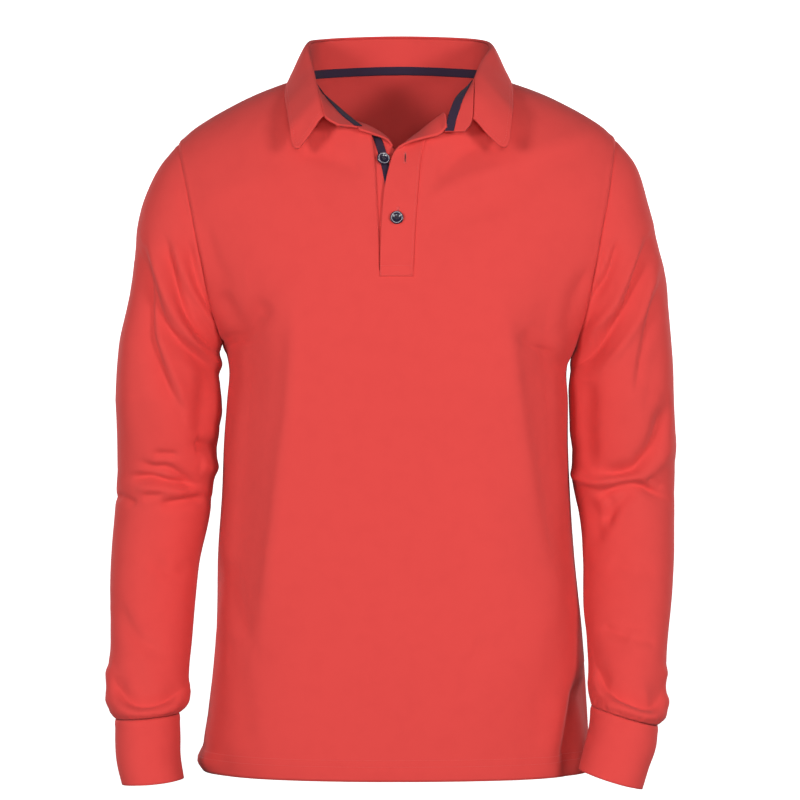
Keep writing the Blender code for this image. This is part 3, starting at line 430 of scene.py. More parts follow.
placketCut = {
    "top": {
        "seam": [(11.6, 0, -181.5), (13.2, 0, -140), (15.5, 0, -105), (17.8, 0, -80), (20, 0, -62),
                 (21.8, 0, -50), (24, 2.5, -43), (29.5, 8, -41), (35, 11, -38)],
        "roll": [(-4, 0, -181.5), (-2.5, 0, -140), (0, 0, -104), (3, 1, -79), (7, 3, -60),
                 (10, 6, -48), (22, 7, -37), (34, 4, -28), (42.5, 0, -22)],
        "free": [(-19.5, 0, -181.5), (-18.5, 0, -140), (-16, 0, -103), (-11.5, 1, -78),
                 (-5, 1, -59), (8, -5, -51), (23, -9, -47), (38, -11, -43.5), (45, -14, -36.5)],
        "layer": 0.6,
    },
    "under": {
        "seam": [(-19.4, 0, -174), (-20.5, 0, -140), (-22, 0, -105), (-23.5, 0, -82),
                 (-24.8, 0, -65), (-26, 2, -53), (-28, 7, -44), (-33, 14, -42)],
        "roll": [(-5, 0, -174), (-6, 0, -140), (-8, 1, -104), (-10, 4, -81), (-12, 5, -62),
                 (-15, 8, -45.5), (-28, 6, -35), (-43, 8, -29)],
        "free": [(10, 0, -174), (9, 0, -140), (6, 2, -103), (3, 8, -80), (-4, 11, -61),
                 (-12, 1, -48), (-27, -9, -42.5), (-39.5, -10, -38.5)],
        "layer": -2.5,
    },
    "chestTopZ": -40,                 # above it the strips keep the chest's depth here
    "onEdge": (-47, -40),             # below these heights the seam follows the front's edge
    "overEdge": 0.9,
    "across": 24,
    "along": 120,
}


def chestY(z):  # y of the front beside the placket, at a height
    z = np.minimum(z, placketCut["chestTopZ"])
    c = np.full_like(z, bodyCut["placketC"])
    return upperPoint(-1, c, heightOnColumn(c, z))[..., 1]


def stripPoints(name):
    cut = placketCut[name]
    keys, at = np.linspace(0, 1, len(cut["seam"])), np.linspace(0, 1, placketCut["along"])
    seam, roll, free = (curveThrough(keys, cut[part], at) for part in ("seam", "roll", "free"))
    for line in (seam, roll, free):
        line[:, 1] += chestY(line[:, 2]) - cut["layer"]
    # the seam follows the front's own cut edge, a little over it
    panel = panels[-1]
    sign = 1 if name == "top" else -1
    column = int(np.argmin(abs(panel["columns"] - sign * bodyCut["placketC"])))
    edge = panel["points"][panel["foot"]:, column]
    share = 1 - ease(*placketCut["onEdge"], seam[:, 2])
    onEdge = np.interp(seam[:, 2], edge[:, 2], edge[:, 0]) + placketCut["overEdge"] * sign
    seam[:, 0] = lerp(seam[:, 0], onEdge, share)
    control = 2 * roll - (seam + free) / 2
    rows = [(1 - t) ** 2 * seam + 2 * t * (1 - t) * control + t * t * free
            for t in np.linspace(0, 1, placketCut["across"])]
    return np.array(rows).transpose(1, 0, 2)


def normalsOf(points, closed=False):
    along = np.gradient(points, axis=0)
    if closed:
        inner = points[:, :-1]
        across = (np.roll(inner, -1, axis=1) - np.roll(inner, 1, axis=1)) / 2
        across = np.concatenate([across, across[:, :1]], axis=1)
    else:
        across = np.gradient(points, axis=1)
    return unit(np.cross(across, along))


def facing(normals, spot, way):  # all turned so that the one at a spot looks the given way
    return normals * (1 if np.dot(normals[spot], way) > 0 else -1)


def tubeNormals(points):  # of rings round an arm, looking out of it
    spot = (len(points) // 2, 10)
    return facing(normalsOf(points, closed=True), spot, points[spot] - points[spot[0]].mean(axis=0))


def runs(points, axis=0):  # length along a grid or a path, from its first row or column
    steps = np.linalg.norm(np.diff(points, axis=axis), axis=-1)
    start = np.zeros_like(np.take(steps, [0], axis=axis))
    return np.concatenate([start, np.cumsum(steps, axis=axis)], axis=axis)


def meanRun(points, axis=0):
    return runs(points, axis).mean(axis=1 - axis)


def addObject(name, bm, *materials):  # a bmesh as a smooth object in the scene
    mesh = bpy.data.meshes.new(name)
    bm.to_mesh(mesh)
    bm.free()
    mesh.shade_smooth()
    for material in materials:
        mesh.materials.append(material)
    made = bpy.data.objects.new(name, mesh)
    bpy.context.scene.collection.objects.link(made)
    return made


def declare(piece, node=None):
    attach(piece, "root")
    if node:
        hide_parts(node)


# a grid laid on the points, with its own map in millimetres, then given its thickness
def clothMesh(name, points, normals, material, thickness=jerseyWall, closed=False, keep=None):
    rows, cols = points.shape[:2]
    across, down = runs(points, 1), meanRun(points)
    across -= across[:, cols // 2:cols // 2 + 1]
    bm = bmesh.new()
    bmesh.ops.create_grid(bm, x_segments=cols - 1, y_segments=rows - 1, size=1)
    mapLayer = bm.loops.layers.uv.new("cloth")
    spots = {}
    for v in bm.verts:
        r, c = round((v.co.y + 1) / 2 * (rows - 1)), round((v.co.x + 1) / 2 * (cols - 1))
        spots[v] = (r, c)
        v.co = points[r, c] * mm
    for f in bm.faces:
        for loop in f.loops:
            r, c = spots[loop.vert]
            loop[mapLayer].uv = (across[r, c] * 0.01, down[r] * 0.01)
    if keep is not None:
        gone = [f for f in bm.faces if not keep(*np.min([spots[v] for v in f.verts], axis=0))]
        bmesh.ops.delete(bm, geom=gone, context="FACES")
    bm.normal_update()
    probe = bm.faces[:][len(bm.faces) // 2]
    if np.dot(probe.normal, normals[spots[probe.verts[0]]]) < 0:
        bmesh.ops.reverse_faces(bm, faces=bm.faces)
    if closed:
        bmesh.ops.remove_doubles(bm, verts=bm.verts, dist=1e-6)
    made = addObject(name, bm, material)
    wall = made.modifiers.new("thickness", "SOLIDIFY")
    wall.thickness = thickness * mm
    wall.offset = 0
    wall.use_even_offset = False
    return made


colours = {
    "red": (0.72, 0.062, 0.055, 1),
    "redDeep": (0.60, 0.040, 0.040, 1),
    "navy": (0.014, 0.011, 0.026, 1),
    "navyPale": (0.036, 0.020, 0.046, 1),
    "rim": (0.30, 0.29, 0.33, 1),
    "thread": (0.70, 0.055, 0.05, 1),
    # slit: painted shade, the dark of a buttonhole's opening, laid on a bead over the cloth
    "slit": (0.03, 0.002, 0.002, 1),
}


def wire(a, out, b, into):
    a.id_data.links.new(a.outputs[out], b.inputs[into])


def addNode(tree, kind, inputs=None, **settings):
    node = tree.nodes.new(kind)
    for name, value in settings.items():
        setattr(node, name, value)
    for name, value in (inputs or {}).items():
        node.inputs[name].default_value = value
    return node


def principled(name, inputs):
    made = bpy.data.materials.new(name)
    made.use_nodes = True
    shader = made.node_tree.nodes["Principled BSDF"]
    for socket, value in inputs.items():
        shader.inputs[socket].default_value = value
    return made, made.node_tree, shader


# fine knit: wales along the map's v, courses along its u, with uneven yarn
def knitGroup():
    group = bpy.data.node_groups.new("fineKnit", "ShaderNodeTree")
    number = "NodeSocketFloat"
    for label, start in (("Wale mm", 0.9), ("Course mm", 0.7), ("Unevenness", 0.4)):
        group.interface.new_socket(name=label, socket_type=number).default_value = start
    for label in ("Height", "Mottle"):
        group.interface.new_socket(name=label, in_out="OUTPUT", socket_type=number)
    inputs, outputs = addNode(group, "NodeGroupInput"), addNode(group, "NodeGroupOutput")
    uv = addNode(group, "ShaderNodeUVMap", uv_map="cloth")
    split = addNode(group, "ShaderNodeSeparateXYZ")
    wire(uv, 0, split, 0)

    def work(kind, a, b=None):
        node = addNode(group, "ShaderNodeMath", operation=kind)
        for socket, value in zip(node.inputs, (a, b)):
            if isinstance(value, (int, float)):
                socket.default_value = value
            elif value is not None:
                group.links.new(value, socket)
        return node.outputs[0]

    def grain(scale, detail):
        noiseNode = addNode(group, "ShaderNodeTexNoise", {"Scale": scale, "Detail": detail})
        wire(coords, "Object", noiseNode, "Vector")
        return noiseNode.outputs["Fac"]

    u, v = work("MULTIPLY", split.outputs[0], 100), work("MULTIPLY", split.outputs[1], 100)
    waleTurn = work("MULTIPLY", work("DIVIDE", u, inputs.outputs["Wale mm"]), math.pi)
    courseTurn = work("MULTIPLY", work("DIVIDE", v, inputs.outputs["Course mm"]), 2 * math.pi)
    wale = work("ABSOLUTE", work("SINE", waleTurn))
    slant = work("MULTIPLY", work("SINE", work("MULTIPLY", waleTurn, 2)), 1.3)
    course = work("SINE", work("ADD", courseTurn, slant))
    loop = work("MULTIPLY", work("ADD", work("MULTIPLY", course, 0.35), 0.65), wale)
    coords = addNode(group, "ShaderNodeTexCoord")
    rough = work("MULTIPLY", grain(900, 2), inputs.outputs["Unevenness"])
    group.links.new(work("ADD", loop, rough), outputs.inputs["Height"])
    group.links.new(grain(60, 4), outputs.inputs["Mottle"])
    return group


knit = knitGroup()


def clothMaterial(name, light, deep, wale=0.9, course=0.7, bump=0.25):
    made, tree, shader = principled(name, {"Roughness": 0.92, "Sheen Weight": 0.06,
                                           "Sheen Roughness": 0.5, "Specular IOR Level": 0.25})
    fabric = addNode(tree, "ShaderNodeGroup", {"Wale mm": wale, "Course mm": course},
                     node_tree=knit)
    ramp = addNode(tree, "ShaderNodeMix", {"A": deep, "B": light}, data_type="RGBA")
    spread = addNode(tree, "ShaderNodeMapRange",
                     {"From Min": 0.25, "From Max": 0.55, "To Min": 0.84})
    wire(fabric, "Mottle", spread, "Value")
    wire(spread, "Result", ramp, "Factor")
    wire(ramp, "Result", shader, "Base Color")
    relief = addNode(tree, "ShaderNodeBump", {"Strength": bump, "Distance": 0.0002})
    wire(fabric, "Height", relief, "Height")
    wire(relief, "Normal", shader, "Normal")
    return made


redJersey = clothMaterial("redJersey", colours["red"], colours["redDeep"])
redTrim = clothMaterial("redTrim", colours["red"], colours["redDeep"], wale=0.8)
navyTape = clothMaterial("navyTape", colours["navyPale"], colours["navy"], wale=0.6, course=0.6,
                         bump=0.5)
print("materials ready")

# A crease is a line as the camera sees it in its 800-pixel frame, then its height in mm, below 0
# for a trough, and its reach in pixels to the left and to the right of the way it runs.
creases = {  # by piece, and the side they are on: -1 the front, 1 the back
    ("sleeveRight", -1): [
        ([(143, 250), (152, 288), (164, 320), (182, 342), (206, 360), (221, 382)], -4.6, 4, 12),
        ([(150, 246), (164, 290), (180, 324), (212, 362)], 2.4, 7, 4),
        ([(166, 240), (178, 290), (193, 325), (216, 352)], -3.4, 4, 8),
        ([(172, 238), (188, 284), (204, 310), (221, 338)], 1.8, 6, 4),
        ([(188, 240), (198, 284), (215, 318)], -1.8, 4, 6),
        ([(141, 262), (148, 320), (164, 370), (181, 410)], -4.6, 4, 14),
        ([(152, 322), (168, 368), (184, 402)], 1.8, 8, 4),
        ([(222, 352), (223, 376), (223, 402), (220, 426)], 2.8, 12, 12),
        ([(206, 372), (203, 410), (200, 440)], -2.0, 9, 9),
        ([(127, 320), (126, 370), (130, 440)], 1.0, 9, 9),
        ([(186, 150), (188, 200), (202, 240)], -1.2, 7, 7),
        ([(154, 453.6), (178, 455)], -1.9, 4, 4),
        ([(142, 462), (152, 467), (169, 468), (183, 476), (196, 484)], -3.0, 4, 5),
        ([(131, 476.6), (152, 477.2), (169, 481.5), (198, 486)], -4.0, 4, 6),
        ([(135, 487), (160, 489), (190, 491)], 1.8, 6, 6),
        ([(143, 496), (165, 493.6)], -1.3, 4, 4),
        ([(160, 504), (187, 500), (206, 497)], -3.2, 4, 7),
        ([(116, 495), (128, 500), (137, 504)], -1.9, 4, 4),
        ([(196, 444), (217, 447)], -3.4, 7, 7),
        ([(200, 466), (219, 468)], 2.2, 8, 8),
        ([(150, 560), (172, 575), (190, 566)], -1.2, 8, 8),
        ([(118, 604), (130, 628), (146, 645), (162, 652)], -1.8, 7, 10),
        ([(134, 655), (138, 675), (146, 696)], -1.0, 8, 10),
        ([(115, 674), (117, 690), (124, 699.2), (134.4, 705.5), (146, 706.7), (159.7, 704.4),
          (171.2, 699.2), (185, 686)], -3.6, 12, 3.5),
        ([(109, 664), (107, 688), (110, 708)], 2.0, 9, 9),
        ([(111, 700), (128, 711), (146, 714), (166, 711), (181, 702)], 1.6, 3.5, 8),
    ],
    ("sleeveLeft", -1): [
        ([(648, 240), (636, 276), (622, 309), (602, 338), (584, 360), (573, 374)], -4.8, 11, 4),
        ([(640, 244), (626, 280), (612, 310), (588, 338)], 2.2, 4, 7),
        ([(618, 240), (606, 276), (588, 300)], -2.8, 7, 4),
        ([(601, 250), (591, 270)], -2.2, 6, 4),
        ([(657, 262), (642, 312), (622, 346), (604, 368)], 2.2, 5, 5),
        ([(656, 290), (649, 322), (641, 360), (636, 392)], -2.6, 10, 4),
        ([(660, 340), (652, 384), (646, 412)], -1.6, 8, 8),
        ([(574, 348), (572, 380), (571, 420), (571, 450)], 2.8, 12, 12),
        ([(667, 404), (663, 427), (657, 444), (644.8, 460.9), (632.7, 470.6), (614.5, 474.2),
          (597, 471)], -5.2, 4, 10),
        ([(672, 440), (663, 458), (650, 471), (634, 480), (614, 481)], 1.6, 6, 5),
        ([(596, 493), (611, 488.7), (627.9, 483.9), (643, 485.5), (665, 497)], -4.2, 4, 6),
        ([(647, 476.6), (664, 488)], -1.3, 4, 4),
        ([(571, 471), (582, 479), (597, 482.5), (614, 481)], 2.6, 4, 4),
        ([(587, 380), (585, 424), (589, 468)], -3.0, 11, 11),
        ([(634, 490), (618, 504), (604, 528)], -2.6, 6, 8),
        ([(586, 496), (594, 515), (597, 545)], -2.0, 9, 9),
        ([(596, 492), (610, 503), (604, 522)], -1.4, 5, 5),
        ([(610, 560), (632, 572), (655, 566)], -1.2, 9, 9),
        ([(602, 626), (614, 632), (630, 637)], -1.5, 5, 6),
        ([(620, 625), (645, 629)], -0.9, 5, 5),
        ([(632, 639), (656, 643)], -1.0, 5, 5),
        ([(595, 662), (602.5, 686.6), (611.7, 693.5), (626.6, 701.5), (645, 708.4), (655.3, 708),
          (660.5, 698), (661, 680)], -3.8, 12, 3.5),
        ([(667, 664), (668, 688), (667, 710)], 1.8, 9, 9),
        ([(600, 696), (624, 709), (645, 716), (661, 716)], 1.6, 3.5, 7),
        ([(592, 699), (606, 698), (622, 702)], -1.4, 4, 5),
    ],
    ("front", -1): [
        ([(248, 296), (245, 400), (237, 490), (231, 580), (229, 640)], -6.0, 26, 14),
        ([(296, 305), (291, 400), (279, 490), (268, 580), (262, 640)], 2.8, 15, 10),
        ([(546, 296), (550, 400), (557, 494), (568, 590)], -5.4, 12, 24),
        ([(505, 305), (518, 400), (536, 494), (556, 590)], 2.6, 10, 14),
        ([(521, 140), (471, 150), (430, 182)], -2.0, 8, 9),
        ([(505, 168), (462, 181), (424, 202)], 1.7, 8, 8),
        ([(520, 200), (471, 211), (425, 238)], -1.6, 10, 10),
        ([(219, 352), (240, 334), (268, 300)], -4.0, 10, 10),
        ([(220, 290), (232, 322), (230, 352)], -3.0, 9, 9),
        ([(204, 228), (216, 262), (228, 290)], -1.2, 8, 10),
        ([(601, 131), (560, 146), (512, 165), (450, 195)], 1.6, 12, 14),
        ([(590, 150), (540, 168), (490, 196)], -1.2, 12, 12),
        ([(300, 152), (330, 158), (368, 172)], -1.8, 9, 9),
        ([(196, 200), (230, 190), (280, 176)], 1.0, 14, 14),
        ([(565, 372), (545, 352), (520, 332)], -3.4, 9, 9),
        ([(592, 268), (574, 300), (566, 345)], -2.8, 9, 9),
        ([(582, 676), (574, 720), (566, 768)], -6.5, 15, 7),
        ([(560, 690), (552, 730), (545, 765)], 1.8, 9, 12),
        ([(219, 560), (232, 600), (247, 638)], -2.4, 10, 10),
        ([(473, 647), (486, 652)], -1.2, 13, 13),
        ([(236, 650), (242, 700), (250, 752)], -1.6, 12, 14),
        ([(330, 620), (336, 690), (330, 760)], -1.0, 22, 22),
        ([(440, 560), (452, 640), (446, 720)], -0.9, 24, 24),
    ],
    ("sleeveRight", 1): [
        ([(150, 256), (170, 316), (207, 352)], -4.4, 8, 5),
        ([(141, 276), (160, 340), (196, 370)], 2.2, 6, 10),
        ([(138, 300), (156, 362), (192, 404)], -3.6, 6, 11),
        ([(124, 470), (158, 479), (202, 470)], -2.4, 5, 7),
        ([(128, 499), (162, 509), (203, 497)], -2.8, 5, 7),
        ([(132, 528), (165, 536), (196, 527)], -1.6, 6, 6),
        ([(120, 600), (146, 622), (176, 616)], -1.4, 8, 8),
        ([(110, 688), (146, 704), (183, 692)], -3.0, 10, 3.5),
    ],
    ("sleeveLeft", 1): [
        ([(651, 248), (630, 306), (594, 350)], -4.6, 5, 8),
        ([(660, 272), (642, 330), (604, 372)], 2.4, 10, 6),
        ([(658, 310), (642, 366), (612, 398)], -3.2, 10, 7),
        ([(668, 462), (636, 474), (600, 466)], -2.6, 7, 5),
        ([(666, 492), (632, 504), (598, 494)], -2.4, 7, 5),
        ([(660, 540), (630, 548), (606, 540)], -1.4, 7, 6),
        ([(656, 610), (630, 628), (606, 622)], -1.5, 8, 8),
        ([(598, 686), (630, 704), (664, 694)], -3.0, 10, 3.5),
    ],
    ("back", 1): [
        ([(228, 338), (276, 394), (350, 422)], -3.2, 9, 13),
        ([(577, 342), (522, 400), (452, 428)], -3.4, 13, 9),
        ([(256, 470), (330, 493), (424, 487)], -2.6, 8, 12),
        ([(562, 480), (500, 507), (432, 500)], -2.8, 12, 8),
        ([(300, 528), (380, 549), (476, 538)], -2.2, 9, 12),
        ([(302, 560), (292, 650), (300, 752)], -3.4, 14, 20),
        ([(500, 566), (514, 660), (506, 756)], -3.0, 20, 13),
        ([(402, 590), (396, 700), (404, 756)], 1.6, 24, 24),
        ([(208, 220), (232, 262), (240, 310)], -2.0, 10, 12),
        ([(592, 226), (568, 266), (562, 316)], -2.2, 12, 9),
        ([(300, 118), (340, 150), (400, 158), (462, 148), (500, 116)], -1.4, 9, 14),
    ],
}
creaseStrength = {"sleeveRight": 1.9, "sleeveLeft": 1.9, "front": 1.5, "back": 1.3}
creaseShape = {
    "blend": 2.0,                     # pixels over which one reach turns into the other
    "fade": (-0.10, 0.22),            # share of its length over which an end fades
    "seen": (-0.45, 0.15),            # how far round the piece it goes
}
clothWaves = {"long": (75, 75, 95), "short": (22, 22, 30), "shortShare": 0.22}
seamShape = {"wide": 1.5, "shoulderAt": 4.2, "shoulderWide": 2.4}

view = {"distance": 3000, "height": -300, "frameWidth": 800}  # the camera


def seenAt(points):  # where points land in the camera's frame
    away, half = view["distance"], view["frameWidth"] / 2
    scale = away / (away + points[..., 1])
    return np.stack([half + points[..., 0] * scale,
                     half - (points[..., 2] - view["height"]) * scale], axis=-1)


def nearestCell(grid, spot):  # row and column of a grid where the camera sees a pixel
    gap = np.linalg.norm(seenAt(grid) - np.array(spot, float), axis=-1)
    r, c = np.unravel_index(np.argmin(gap), gap.shape)
    return float(r), float(c)


def oneCrease(spots, line, height, leftReach, rightReach):
    line = np.array(line, float)
    keys = np.linspace(0, 1, len(line))
    path = curveThrough(keys, line, np.linspace(0, 1, 6 * len(line))) if len(line) > 2 else line
    done = runs(path)
    done /= done[-1]
    nearest = np.full(spots.shape[:-1], 1e9)
    along, toRight = np.zeros_like(nearest), np.zeros_like(nearest)
    for i, (start, end) in enumerate(zip(path, path[1:])):
        way, reach = end - start, spots - start
        t = np.clip((reach @ way) / (way @ way), 0, 1)
        gap = np.linalg.norm(reach - t[..., None] * way, axis=-1)
        closer = gap < nearest
        nearest = np.where(closer, gap, nearest)
        along = np.where(closer, lerp(done[i], done[i + 1], t), along)
        beside = (way[0] * reach[..., 1] - way[1] * reach[..., 0]) / np.hypot(*way)
        toRight = np.where(closer, beside, toRight)
    blend, fade = creaseShape["blend"], creaseShape["fade"]
    width = lerp(leftReach, rightReach, ease(-blend, blend, toRight))
    ends = ease(*fade, along) * ease(*fade, 1 - along)
    return height * np.exp(-(nearest / width) ** 2) * ends


# how far a piece's creases move it along its own normals
def creasePush(name, points, normals):
    spots = seenAt(points)
    push = np.zeros(points.shape[:-1])
    for side in (-1, 1):
        seen = ease(*creaseShape["seen"], side * normals[..., 1])
        for crease in creases.get((name, side), []):
            push += oneCrease(spots, *crease) * seen
    return push * creaseStrength[name]


# slow waves in the cloth, with a little quicker ripple
def unevenness(points, amount):
    flat = points.reshape(-1, 3)
    slow, quicker = (np.array([noise.noise(Vector(p)) for p in flat / clothWaves[name]])
                     for name in ("long", "short"))
    waves = slow + clothWaves["shortShare"] * quicker
    return amount * waves.reshape(points.shape[:-1])


# the groove along a seam, with the turned edges raised beside it
def seamDip(gap, depth, shoulder):
    raised = np.exp(-((gap - seamShape["shoulderAt"]) / seamShape["shoulderWide"]) ** 2)
    return shoulder * raised - depth * np.exp(-(gap / seamShape["wide"]) ** 2)


sleeveFinish = {
    "flat": (0.42, 0.60),
    "groove": (0.9, 0.0),             # depth of the armhole seam, and of its shoulder
    "waves": 1.1,
    "clear": 8, "clearUnder": 40,     # kept as cut beside the armhole, more at the armpit
    "underShare": 0.10,               # of the way round that counts as the armpit
    "clearCuff": 9,
    "gather": 0.8, "gatherOver": 11,
    "gathers": (19, 31),              # folds of the two waves round the cuff's seam
}


def makeSleeve(hand):
    points, turns = sleevePoints(hand)
    cut, name = sleeveFinish, "sleeve" + handName[hand]
    normals = tubeNormals(points)
    down = meanRun(points)
    toCuff = down[-1] - down
    under = np.minimum(turns, 1 - turns)
    clear = cut["clear"] + cut["clearUnder"] * np.maximum(0, 1 - under / cut["underShare"])
    guard = np.minimum(ease(0, 1, down[:, None] / clear[None]),
                       ease(0, cut["clearCuff"], toCuff)[:, None])
    push = (creasePush(name, points, normals) + unevenness(points, cut["waves"])) * guard
    push += seamDip(down[:, None], *cut["groove"])
    angle = turns * 2 * math.pi
    broad, fine = cut["gathers"]
    gathers = 0.5 * np.sin(angle * broad + 1.3 * np.sin(angle * 3))
    gathers += 0.35 * np.sin(angle * fine + 2)
    nearCuff = np.exp(-(toCuff / cut["gatherOver"]) ** 2) * ease(0, 2.5, toCuff)
    push += nearCuff[:, None] * gathers[None] * cut["gather"]
    points = points + normals * push[..., None]
    piece = clothMesh(name, points, tubeNormals(points), redJersey, closed=True)
    declare(piece, "sleeve_" + handName[hand].lower())


panelFinish = {
    "flat": (0.56, 0.74),
    "waves": 1.2,
    "hem": 22.0, "needleGap": 6.4, "thicker": 0.5,
    "kick": 8.0, "kickZ": -659,       # how far the hem stands out at the right side seam
    "easeTurns": 60, "easeRows": 14.0, "easeFrom": 45,
    "clearSide": (1, 16),             # creases and waves grow over these mm from a seam
    "clearTop": (1, 14),
    "clearBoxZ": (-196, -184),        # and over these heights and columns by the placket
    "clearBoxC": (0.01, 0.10),
    "needleSink": 0.35, "needleWide": 1.1,
    "pucker": 0.14, "puckerOver": 13,
    "sideSeam": (0.5, 0.2),           # depth of a seam's groove, and of its shoulder
    "armhole": (0.9, 0.45),
    "shoulder": (0.5, 0.25),
}


def makePanel(side):
    points, columns, rowOf = panelPoints(side)
    cut, name = panelFinish, sideName[side]
    spot = (20, len(columns) // 2)
    normals = facing(normalsOf(points), spot, (0, side, 0))
    fromLeft = runs(points, 1)
    edgeGap = np.minimum(fromLeft, fromLeft[:, -1:] - fromLeft)
    # the armpit's level is eased, so no line runs round the chest there
    fromArmpit = np.arange(len(points)) - rowOf["armpit"]
    near = np.exp(-(fromArmpit / cut["easeRows"]) ** 2)[1:-1, None]
    share = (near * ease(0, cut["easeFrom"], edgeGap)[1:-1])[..., None]
    for turn in range(cut["easeTurns"]):
        points[1:-1] = lerp(points[1:-1], (points[:-2] + points[2:]) / 2, 0.5 * share)
    fromHem = runs(points)
    topGap = fromHem[-1:] - fromHem
    guard = ease(*cut["clearSide"], edgeGap) * ease(*cut["clearTop"], topGap)
    c0 = bodyCut["placketC"]
    if side < 0:
        nearBox = ease(*cut["clearBoxZ"], points[..., 2])
        guard = guard * lerp(1, ease(*cut["clearBoxC"], abs(columns) - c0)[None], nearBox)
    push = (creasePush(name, points, normals) + unevenness(points, cut["waves"])) * guard
    push += np.where((fromArmpit >= 0)[:, None], seamDip(edgeGap, *cut["armhole"]),
                     seamDip(edgeGap, *cut["sideSeam"]))
    push += seamDip(topGap, *cut["shoulder"]) * (abs(columns) > bodyCut["neckC"])[None]
    hem = cut["hem"]
    push += cut["thicker"] * (1 - ease(hem - 1.5, hem + 1.5, fromHem))
    needles = sum(np.exp(-((fromHem - hem + 1 + back) / cut["needleWide"]) ** 2)
                  for back in (0, cut["needleGap"]))
    x = points[..., 0]
    pucker = np.sin(x / 2.9 + 2 * np.sin(x / 17)) + 0.7 * np.sin(x / 5.3 + side)
    push += cut["pucker"] * pucker * np.exp(-((fromHem - hem / 2 - 4) / cut["puckerOver"]) ** 2)
    push -= cut["needleSink"] * needles
    points = points + normals * push[..., None]
    kick = cut["kick"] * np.exp(-((points[..., 2] - cut["kickZ"]) / 10) ** 2)
    points[..., 0] -= kick * (1 - ease(-198, -165, points[..., 0]))
    normals = facing(normalsOf(points), spot, (0, side, 0))
    keep = None
    if side < 0:
        left, right = (int(np.argmin(abs(columns - c))) for c in (-c0, c0))

        def keep(r, c):
            return not (r >= rowOf["foot"] and left <= c < right)
    piece = clothMesh(name + "Panel", points, normals, redJersey, keep=keep)
    declare(piece, name)
    return {"points": points, "normals": normals, "fromHem": fromHem, "columns": columns,
            "foot": rowOf["foot"]}


cuffFinish = {"flat": (0.21, 0.065), "wall": 2.4, "groove": (0.4, 0.3), "waves": 0.8}


def makeCuff(hand):
    points, turns = cuffPoints(hand)
    normals = tubeNormals(points)
    down = meanRun(points)[:, None]
    push = seamDip(down, *cuffFinish["groove"])
    push = push + unevenness(points, cuffFinish["waves"]) * ease(0, 12, down)
    points = points + normals * push[..., None]
    piece = clothMesh("cuff" + handName[hand], points, normals, redTrim,
                      thickness=cuffFinish["wall"], closed=True)
    declare(piece, "cuff_" + handName[hand].lower())


panels = {side: makePanel(side) for side in (-1, 1)}
print("body made")
for hand in (-1, 1):
    makeSleeve(hand)
print("sleeves made")
for hand in (-1, 1):
    makeCuff(hand)

# node, wall, flat size in metres, then a row and column that look backward (1) or forward (-1)
trimCut = {
    "collarStand": ("collar_stand", 2.2, (0.50, 0.034), (8, 120), 1),
    "collarLeaf": ("collar_leaf", 1.9, (0.56, 0.062), (20, 130), 1),
    "placketTop": ("placket_top", 2.0, (0.05, 0.18), (40, 12), -1),
    "placketUnder": ("placket_under", 2.0, (0.05, 0.18), (40, 12), -1),
    "neckTape": ("tape_neck", 0.8, (0.46, 0.010), (2, 120), -1),
    "placketTape": ("tape_placket", 0.8, (0.010, 0.09), (20, 3), -1),
}


def makeTrim(name, points, material=redTrim):
    node, wall, flat, spot, looks = trimCut[name]
    normals = facing(normalsOf(points), spot, (0, looks, 0))
    piece = clothMesh(name, points, normals, material, thickness=wall)
    declare(piece, node)
    return points, normals


stand = makeTrim("collarStand", standPoints())
leaf = makeTrim("collarLeaf", leafPoints())
placketTop = makeTrim("placketTop", stripPoints("top"))
placketUnder = makeTrim("placketUnder", stripPoints("under"))
makeTrim("neckTape", neckTapePoints(), navyTape)
print("collar and plackets made")

# the navy tape down the under placket, its two edges as the camera sees them
tapeCut = {
    "down": [130, 137, 144, 152, 160, 168, 176, 183, 190],
    "left": [370.2, 372.2, 374.6, 377.2, 379.4, 381.4, 383, 384.4, 385.6],
    "right": [376.4, 379.6, 382.8, 385.2, 387.2, 388.8, 390, 391, 391.8],
    "within": 17,                     # columns of the placket that it may lie on
    "air": 0.2,
}


# the point of a strip's surface that the camera sees at a pixel, and the way out of it
def underCamera(grid, normals, px, py):
    cell = tuple(int(n) for n in nearestCell(grid, (px, py)))
    half = view["frameWidth"] / 2
    eye = np.array([0, -view["distance"], view["height"]], float)
    ray = np.array([px - half, view["distance"], half - py])
    out = normals[cell]
    return eye + ray * (((grid[cell] - eye) @ out) / (ray @ out)), out


def placketTapePoints():
    grid, normals = (field[:, :tapeCut["within"]] for field in placketUnder)
    lift = (trimCut["placketUnder"][1] + trimCut["placketTape"][1]) / 2 + tapeCut["air"]
    rows = []
    for py in np.linspace(tapeCut["down"][0], tapeCut["down"][-1], 60):
        left, right = readCut(tapeCut, "down", ("left", "right"), py)
        row = [underCamera(grid, normals, px, py) for px in np.linspace(left, right, 7)]
        rows.append([spot + out * lift for spot, out in row])
    rows = np.array(rows)
    for turn in range(8):
        rows[1:-1] = (rows[:-2] + 2 * rows[1:-1] + rows[2:]) / 4
    return rows


makeTrim("placketTape", placketTapePoints(), navyTape)

sewing = {
    "pitch": 3.0, "placketPitch": 2.7,
    "thread": 0.42,
    "hem": {"length": 2.3, "lift": 0.72},
    "leaf": {"length": 2.0, "lift": 1.0, "in": 5},
    "placket": {"length": 2.0, "lift": 1.05, "topZ": -46, "boxZ": (-171, -180.3)},
}


def onGrid(grid, normals, row, col):  # point and normal between a grid's rows and columns
    row = np.clip(np.asarray(row, float), 0, len(grid) - 1.001)
    col = np.clip(np.asarray(col, float), 0, grid.shape[1] - 1.001)
    r, c = row.astype(int), col.astype(int)
    a, b = (row - r)[:, None], (col - c)[:, None]

    def blend(field):
        return lerp(lerp(field[r, c], field[r, c + 1], b),
                    lerp(field[r + 1, c], field[r + 1, c + 1], b), a)
    return blend(grid), unit(blend(normals))


